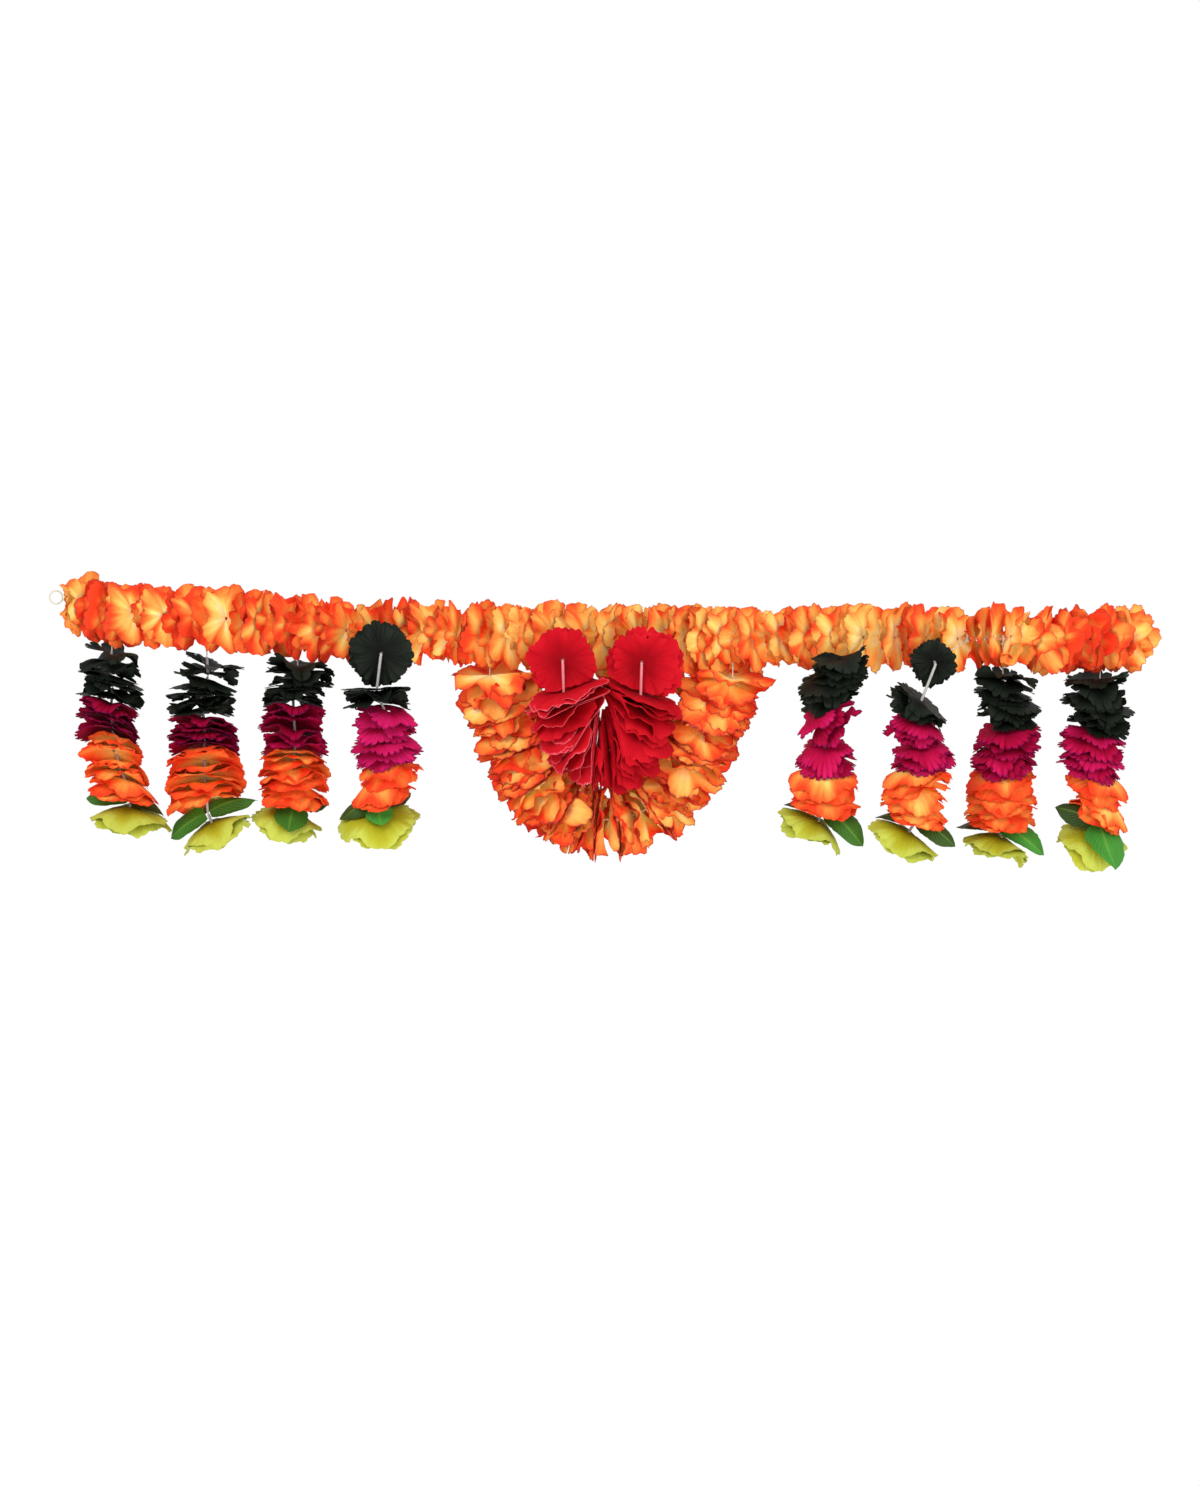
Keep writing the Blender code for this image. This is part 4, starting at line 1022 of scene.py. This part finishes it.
def string_piece(name, points, ties=(), knots=(), rings=()):
    """The whole string of the line, a strand or a swag, with its ties, knots and end rings."""
    shape = Shape()
    path = [start + (end - start) * share for start, end in zip(points, points[1:]) for share in STRING_STEPS]
    tube(shape, path + [points[-1]], STRING_RADIUS, STRING_SIDES)
    for place, way in ties:
        ring(shape, place, TIE_MAJOR, TIE_MINOR, RIGHT)
        ring(shape, place + RIGHT * TIE_MINOR, SECOND_TIE_MAJOR, SECOND_TIE_MINOR, RIGHT)
        knot(shape, place + way * (TIE_MAJOR + TIE_MINOR + KNOT_RADIUS / 2), KNOT_RADIUS, way)
    for place, axis in knots:
        knot(shape, place, END_KNOT_RADIUS, axis)
    for place, axis in rings:
        ring(shape, place, LOOP_MAJOR, LOOP_MINOR, axis, steps=48, sides=10)
    piece = shape.made(name + "_string", materials["thread"])
    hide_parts(name + "_thread")


def dress(name, groups, forms, start, end, bends, tubes, ties=(), sway=0):
    """The flowers, leaves and spacer tubes of one string, from start to end. groups are the name, kind and
    number of forms of each piece. Returns the points that the string goes through."""
    stops = string_stops(start, forms, end, bends)
    separators = separators_of(forms, bends, ties, sway)
    held = [stop for stop in stops if stop.form]
    for title, kind, count in groups:
        group_piece(title, kind, held[:count], separators)
        held = held[count:]
    spacer_tubes(name, stops, tubes)
    return [stop.point for stop in stops]


def tied_start(name, first):
    """Where a string is tied on, the way from there to its knot, and where its spacer tubes start on the way
    to its first form."""
    place = tie_point(name)
    direction = -UP if abs(first.y) < LINE_CLEARANCE / 2 else (first - place).normalized()
    way = (direction - RIGHT * direction.x).normalized()
    return place, way, place + direction * TUBE_START


def dress_strand(name):
    forms = strand_forms(name)
    place, way, start = tied_start(name, forms[0].centre)
    last = forms[-1].centre
    down = (last - forms[-2].centre - UP * TAIL).normalized()
    end = last + down * TAIL
    bends = {0: FRONT_BENDS[name]} if name in FRONT_BENDS else {}
    groups = [(f"{name}_{colour}", colour, len(rows)) for colour, rows in STRANDS[name].items()]
    points = dress(name, groups, forms, start, end, bends, "milky_tube")
    end_knot = end + down * (END_GAP + END_KNOT_RADIUS)
    points = [place + way * TIE_MAJOR, *points, end_knot]
    string_piece(name, points, ties=[(place, way)], knots=[(end_knot, down)])


def dress_swag(kind, discs, sizes, bends):
    name = f"{kind}_swag"
    first_place, first_way, start = tied_start(f"{kind}_left", discs[0].centre)
    last_place, last_way, end = tied_start(f"{kind}_right", discs[-1].centre)
    titles = [name] if len(sizes) == 1 else [f"{name}_{number + 1}" for number in range(len(sizes))]
    groups = [(title, kind, size) for title, size in zip(titles, sizes)]
    points = dress(name, groups, discs, start, end, bends, f"{kind}_tube", sway=SWAG_SWAY)
    points = [first_place + first_way * TIE_MAJOR, *points, last_place + last_way * TIE_MAJOR]
    string_piece(name, points, ties=[(first_place, first_way), (last_place, last_way)])


def dress_line():
    start = line_point(LINE_DISCS_FROM * MM + LOOP_MINOR)
    end = line_point(LINE_DISCS_TO * MM - LOOP_MINOR)
    groups = [(f"line_flowers_{number}", "line", size) for number, size in enumerate(LINE_GROUPS, 1)]
    points = dress("line", groups, line_discs(), start, end, {}, "outer_tube", ties=TIES)
    knots, rings = [], []
    for tube_end, line_end in ((start, LINE[0]), (end, LINE[-1])):
        outward = (line_end - tube_end).normalized()
        knots.append((tube_end + outward * (END_GAP + END_KNOT_RADIUS), outward))
        rings.append((line_end + outward * LOOP_MAJOR, VIEWER))
    string_piece("line", [LINE[0], *points, LINE[-1]], knots=knots, rings=rings)


# Materials

def linear(red, green, blue):
    """Shader colour from the usual 0 to 255 values."""
    shares = [value / 255 for value in (red, green, blue)]
    return *(share / 12.92 if share <= 0.04 else ((share + 0.055) / 1.055) ** 2.4 for share in shares), 1


class Nodes:
    """A material with short ways to add and join its shader nodes."""

    def __init__(self, name):
        self.material = bpy.data.materials.new(name)
        self.material.use_nodes = True
        self.tree = self.material.node_tree

    def put(self, socket, value):
        if isinstance(value, bpy.types.NodeSocket):
            self.tree.links.new(value, socket)
        elif value is not None:
            socket.default_value = value

    def node(self, kind, *values, named=None, **settings):
        """A node whose first inputs take the values in order, and others the named ones."""
        made = self.tree.nodes.new(kind)
        for key, value in settings.items():
            setattr(made, key, value)
        for place, value in [*enumerate(values), *(named or {}).items()]:
            self.put(made.inputs[place], value)
        return made

    def flat(self):
        """Place on the flat cloth, leaf or string, from 0 to 1 both ways."""
        return self.node("ShaderNodeUVMap", uv_map="flat").outputs[0]

    def attribute(self, title):
        return self.node("ShaderNodeAttribute", attribute_name=title).outputs["Fac"]

    def math(self, operation, *values, clamp=False):
        return self.node("ShaderNodeMath", *values, operation=operation, use_clamp=clamp).outputs[0]

    def vector(self, operation, *values, output=0):
        return self.node("ShaderNodeVectorMath", *values, operation=operation).outputs[output]

    def centred(self, value):
        return self.math("SUBTRACT", value, 0.5)

    def added_up(self, start, *products):
        """start plus the product of each pair of values."""
        for first, second in products:
            start = self.math("MULTIPLY_ADD", first, second, start)
        return start

    def noise(self, vector, scale, detail=2.0, roughness=0.5):
        named = {"Vector": vector, "Scale": scale, "Detail": detail, "Roughness": roughness}
        return self.node("ShaderNodeTexNoise", named=named).outputs["Fac"]

    def ramp(self, value, stops):
        made = self.node("ShaderNodeValToRGB", value)
        elements = made.color_ramp.elements
        while len(elements) < len(stops):
            elements.new(0.5)
        for element, (position, colour) in zip(elements, stops):
            element.position = position
            element.color = linear(*colour)
        return made.outputs["Color"]

    def mix(self, factor, first, second):
        named = {"Factor": factor, 6: first, 7: second}
        return self.node("ShaderNodeMix", named=named, data_type="RGBA").outputs[2]

    def bump(self, height, strength, distance, normal=None):
        named = {"Strength": strength, "Distance": distance, "Height": height, "Normal": normal}
        return self.node("ShaderNodeBump", named=named).outputs["Normal"]

    def finished(self, colour, roughness, normal=None, specular=None):
        """The material with this look."""
        shader = self.tree.nodes["Principled BSDF"]
        self.put(shader.inputs["Base Color"], colour)
        self.put(shader.inputs["Roughness"], roughness)
        self.put(shader.inputs["Normal"], normal)
        self.put(shader.inputs["Specular IOR Level"], specular)
        return self.material


# In flower cloth, how far apart the patterns of two cloths of different tones lie, how much a pattern changes
# from the hub to the rim, and how strong its streaks are
CLOTHS_APART = 37.0
TOWARDS_EDGE = 0.35
STREAKS = 0.35
# Its edge colour is ragged by this share of the radius, is full where the share is RIM_FULL, and sets in
# steeply with the tone
RAGGED = 0.12
RIM_FULL = 1.02
RIMMED_STEEPLY = 20.0


def flower_cloth(
    name, stops, rim, rim_share, at_hub=0.0, to_rim=1.0, patches=0.4, spread=0.2, shade_between_petals=0.25,
    rough=0.7, gloss=0.04, rimmed_from=-1.0,
):
    """Dyed cloth whose colour runs through the stops from at_hub, by to_rim, with streaks along the pleats,
    patches, a different shade for each cloth and a painted shade between petals. rim is its edge's colour, on
    the cloths whose tone is over rimmed_from; on the red cloth it is a painted pink highlight."""
    nodes = Nodes(name)
    flat = nodes.vector("MULTIPLY_ADD", nodes.flat(), (2, 2, 0), (-1, -1, 0))
    share = nodes.vector("LENGTH", flat, output="Value")
    tone = nodes.attribute("tone")
    depth = nodes.added_up(0.0, (tone, CLOTHS_APART), (share, TOWARDS_EDGE))
    along = nodes.node("ShaderNodeCombineXYZ", 0.0, 0.0, depth).outputs[0]
    place = nodes.vector("ADD", nodes.vector("NORMALIZE", flat), along)
    patch = nodes.centred(nodes.noise(place, scale=1.6, detail=1.0))
    streak = nodes.centred(nodes.noise(place, scale=9.0, detail=3.0, roughness=0.6))
    # Painted shade between petals: near the valleys the colour moves along the stops, deeper on the orange
    # and magenta cloths and paler on the others.
    valley = nodes.math("MULTIPLY", nodes.attribute("valley"), share)
    colour = nodes.ramp(nodes.added_up(
        at_hub, (share, to_rim), (valley, shade_between_petals), (patch, patches), (streak, STREAKS),
        (nodes.centred(tone), spread),
    ), stops)
    speck = nodes.centred(nodes.noise(place, scale=14.0, detail=1.0))
    edge = nodes.added_up(share, (speck, RAGGED))
    # The edge colour. On the red cloth, where rimmed_from keeps it to the left arm, it is a painted pink
    # highlight.
    edge_and_highlight = nodes.math("DIVIDE", nodes.math("SUBTRACT", edge, rim_share), RIM_FULL - rim_share, clamp=True)
    rimmed = nodes.math("SUBTRACT", tone, rimmed_from)
    rimmed = nodes.math("MULTIPLY", rimmed, RIMMED_STEEPLY, clamp=True)
    colour = nodes.mix(nodes.math("MULTIPLY", edge_and_highlight, rimmed), colour, linear(*rim))
    pleats = nodes.noise(place, scale=24.0, roughness=0.6)
    weave = nodes.noise(flat, scale=260.0, detail=1.0)
    normal = nodes.bump(pleats, strength=0.35, distance=1.2 * MM)
    normal = nodes.bump(weave, strength=0.15, distance=0.3 * MM, normal=normal)
    return nodes.finished(colour, rough, normal, specular=gloss)


# Colours of the leaves, from dark to light ones, of their blotches and of their veins
LEAF_STOPS = [
    (0.0, (64, 46, 22)), (0.2, (34, 54, 22)), (0.45, (54, 82, 26)), (0.7, (56, 116, 32)),
    (1.0, (68, 160, 58)),
]
LEAF_BLOTCH = (34, 50, 20)
LEAF_VEIN = (150, 190, 70)
# How strong blotches and veins are, and the side veins as a share of the midrib
BLOTCH_SHARE = 0.45
VEIN_SHARE = 0.25
SIDE_VEINS = 0.4
# How thin the midrib and the side veins are, how close the side veins are, and how they slant
MIDRIB_THINNESS = 18.0
VEIN_THINNESS = 8.0
VEIN_TURNS = 60.0
VEIN_SLANT = -30.0


def leaf_cloth():
    """Green printed cloth with a paler midrib and side veins, dark to light from leaf to leaf."""
    nodes = Nodes("leaf_cloth")
    flat = nodes.flat()
    way, across = nodes.node("ShaderNodeSeparateXYZ", flat).outputs[:2]
    side = nodes.math("ABSOLUTE", nodes.centred(across))
    colour = nodes.ramp(nodes.attribute("tone"), LEAF_STOPS)
    blotch = nodes.math("MULTIPLY", nodes.noise(flat, scale=7.0, detail=3.0), BLOTCH_SHARE)
    colour = nodes.mix(blotch, colour, linear(*LEAF_BLOTCH))
    midrib = nodes.math("MULTIPLY_ADD", side, -MIDRIB_THINNESS, 1.0, clamp=True)
    slant = nodes.added_up(0.0, (way, VEIN_TURNS), (side, VEIN_SLANT))
    veins = nodes.math("POWER", nodes.math("ABSOLUTE", nodes.math("SINE", slant)), VEIN_THINNESS)
    lines = nodes.math("MAXIMUM", midrib, nodes.math("MULTIPLY", veins, SIDE_VEINS))
    colour = nodes.mix(nodes.math("MULTIPLY", lines, VEIN_SHARE), colour, linear(*LEAF_VEIN))
    normal = nodes.bump(lines, strength=0.4, distance=0.4 * MM)
    return nodes.finished(colour, roughness=0.55, normal=normal, specular=0.15)


# A string's ridges: how far they turn round it, and along its length
RIDGES_ROUND = 4 * math.tau
RIDGES_ALONG = 40.0


def string_look():
    """Twisted off-white string, with painted shade in the grooves between its turns."""
    nodes = Nodes("twisted_string")
    around, along = nodes.node("ShaderNodeSeparateXYZ", nodes.flat()).outputs[:2]
    wound = nodes.added_up(0.0, (around, RIDGES_ROUND), (along, RIDGES_ALONG))
    twist = nodes.math("ABSOLUTE", nodes.math("SINE", wound))
    # Darker where the twist runs low, in the grooves: painted shade.
    colour = nodes.ramp(twist, [(0.0, (150, 142, 128)), (0.6, (225, 220, 208))])
    ridges = nodes.bump(twist, strength=0.6, distance=0.3 * MM)
    return nodes.finished(colour, roughness=0.8, normal=ridges)


def tube_look(name, dark, light):
    """Milky plastic tube between the colours dark and light. On the orange and red ones the colour is painted
    light from the flowers round them, and the milky one's grey is partly painted shade.
    """
    nodes = Nodes(name)
    place = nodes.node("ShaderNodeTexCoord").outputs["Object"]
    cloud = nodes.added_up(0.0, (nodes.noise(place, scale=220.0), 0.5), (nodes.attribute("tone"), 0.3))
    return nodes.finished(nodes.ramp(cloud, [(0.0, dark), (1.0, light)]), roughness=0.28)


# Cloth colours, from the hub to the rim
ORANGE_STOPS = [
    (0.0, (255, 236, 168)), (0.22, (255, 216, 118)), (0.42, (255, 186, 92)), (0.62, (254, 146, 66)),
    (0.80, (250, 102, 46)), (1.0, (238, 66, 34)),
]
RED_STOPS = [(0.0, (148, 5, 18)), (0.5, (182, 12, 28)), (1.0, (200, 22, 36))]
DARK_STOPS = [(0.0, (8, 9, 6)), (0.5, (15, 18, 13)), (1.0, (28, 35, 27))]
MAGENTA_STOPS = [
    (0.0, (84, 4, 24)), (0.35, (140, 7, 42)), (0.6, (174, 11, 60)), (0.85, (204, 28, 96)),
    (1.0, (186, 24, 96)),
]
LIME_STOPS = [(0.0, (140, 130, 12)), (0.4, (157, 150, 24)), (0.75, (172, 170, 42)), (1.0, (184, 192, 76))]
materials = {
    "line": flower_cloth(
        "orange_cloth", ORANGE_STOPS, rim=(156, 66, 56), rim_share=0.96, to_rim=0.80, patches=1.5,
        spread=0.5),
    "outer": flower_cloth(
        "swag_cloth", ORANGE_STOPS, rim=(136, 44, 50), rim_share=0.95, at_hub=-0.1, to_rim=0.95, patches=1.5,
        spread=0.3),
    "orange": flower_cloth(
        "strand_orange_cloth", ORANGE_STOPS, rim=(214, 72, 32), rim_share=0.96, at_hub=0.05, to_rim=0.80,
        patches=0.8),
    # The red cloth's pink rim is a painted highlight, on the left arm's flowers only.
    "inner": flower_cloth(
        "red_cloth", RED_STOPS, rim=(236, 96, 110), rim_share=0.94, spread=0.6, rimmed_from=0.5),
    "dark": flower_cloth("dark_cloth", DARK_STOPS, rim=(11, 13, 10), rim_share=0.96, rough=0.5, gloss=0.08),
    # The magenta cloth's painted shade between petals has the other sign, because its stops run from dark to
    # bright.
    "magenta": flower_cloth(
        "magenta_cloth", MAGENTA_STOPS, rim=(98, 10, 66), rim_share=0.93, at_hub=0.30, to_rim=0.35,
        spread=0.7, shade_between_petals=-0.1),
    "lime": flower_cloth("lime_cloth", LIME_STOPS, rim=(176, 180, 72), rim_share=0.96, rough=0.6),
    "leaves": leaf_cloth(),
    "thread": string_look(),
    # Tube colours: the milky grey is partly painted shade, and the orange and red are painted light cast by
    # the flowers round the tubes.
    "milky_tube": tube_look("milky_plastic", dark=(150, 146, 142), light=(198, 194, 190)),
    "outer_tube": tube_look("milky_plastic_painted_orange_light", dark=(206, 128, 86), light=(226, 164, 120)),
    "inner_tube": tube_look("milky_plastic_painted_red_light", dark=(206, 96, 104), light=(228, 140, 146)),
}

dress_line()
dress_swag("outer", outer_discs(), OUTER_GROUPS, {})
dress_swag("inner", inner_discs(), (INNER_FANNED + 2,), {0: INNER_BENDS[0], INNER_FANNED: INNER_BENDS[1]})
for strand in STRANDS:
    dress_strand(strand)


# Floor, light and camera

VIEW_CENTRE = Vector((-0.001, 0, -0.116))
VIEW_HEIGHT = 1.376
CAMERA_DISTANCE = 3.2
SEEN_TO = 20
SENSOR = 36.0
FLOOR_DEPTH = -1.0
FLOOR_RADIUS = 0.6
FLOOR_CORNERS = 64
SURROUND_LIGHT = 0.95
SURROUND_SEEN = 1.0
# Place and power of each light, which points at the middle of the view
LIGHTS = {
    "key": ((-1.2, -2.2, 1.4), 28),
    "fill": ((1.6, -2.0, 0.2), 14),
    "from_below": ((0.2, -1.9, -1.8), 26),
}
LIGHT_SIZE = 1.6


def plain_floor():
    """A pale round floor well below the garland."""
    turns = np.linspace(0, math.tau, FLOOR_CORNERS, endpoint=False)
    corners = [(FLOOR_RADIUS * math.cos(turn), FLOOR_RADIUS * math.sin(turn), FLOOR_DEPTH) for turn in turns]
    data = bpy.data.meshes.new("floor")
    data.from_pydata(corners, [], [list(range(len(corners)))])
    nodes = Nodes("pale_floor")
    place = nodes.node("ShaderNodeTexCoord").outputs["Object"]
    cloud = nodes.noise(place, scale=4.0, detail=3.0)
    colour = nodes.ramp(cloud, [(0.0, (226, 226, 226)), (1.0, (240, 240, 240))])
    data.materials.append(nodes.finished(colour, roughness=0.9))
    placed("floor", data)


def soft_light(name, place, power):
    data = bpy.data.lights.new(name, "AREA")
    data.shape = "DISK"
    data.size = LIGHT_SIZE
    data.energy = power
    light = placed(name, data)
    light.location = place
    light.rotation_euler = (VIEW_CENTRE - light.location).to_track_quat("-Z", "Y").to_euler()


def white_surround():
    """A white surround that is seen a little brighter than it lights the garland."""
    world = bpy.data.worlds.new("white_surround")
    world.use_nodes = True
    tree = world.node_tree
    plain_white = tree.nodes["Background"]
    plain_white.inputs["Color"].default_value = (1, 1, 1, 1)
    seen = tree.nodes.new("ShaderNodeLightPath").outputs["Is Camera Ray"]
    brightness = tree.nodes.new("ShaderNodeMapRange")
    brightness.inputs["To Min"].default_value = SURROUND_LIGHT
    brightness.inputs["To Max"].default_value = SURROUND_SEEN
    tree.links.new(seen, brightness.inputs["Value"])
    tree.links.new(brightness.outputs["Result"], plain_white.inputs["Strength"])
    bpy.context.scene.world = world


def front_camera():
    """A camera straight in front of the garland."""
    data = bpy.data.cameras.new("camera")
    data.sensor_fit = "VERTICAL"
    data.sensor_height = SENSOR
    data.lens = SENSOR * CAMERA_DISTANCE / VIEW_HEIGHT
    data.clip_end = SEEN_TO
    camera = placed("camera", data)
    camera.location = VIEW_CENTRE + VIEWER * CAMERA_DISTANCE
    camera.rotation_euler = (math.pi / 2, 0, 0)
    bpy.context.scene.camera = camera


plain_floor()
for title, (place, power) in LIGHTS.items():
    soft_light(title, place, power)
white_surround()
front_camera()
# The colours are shown as they are, because a film-like curve would pale the dyes
bpy.context.scene.view_settings.view_transform = "Standard"
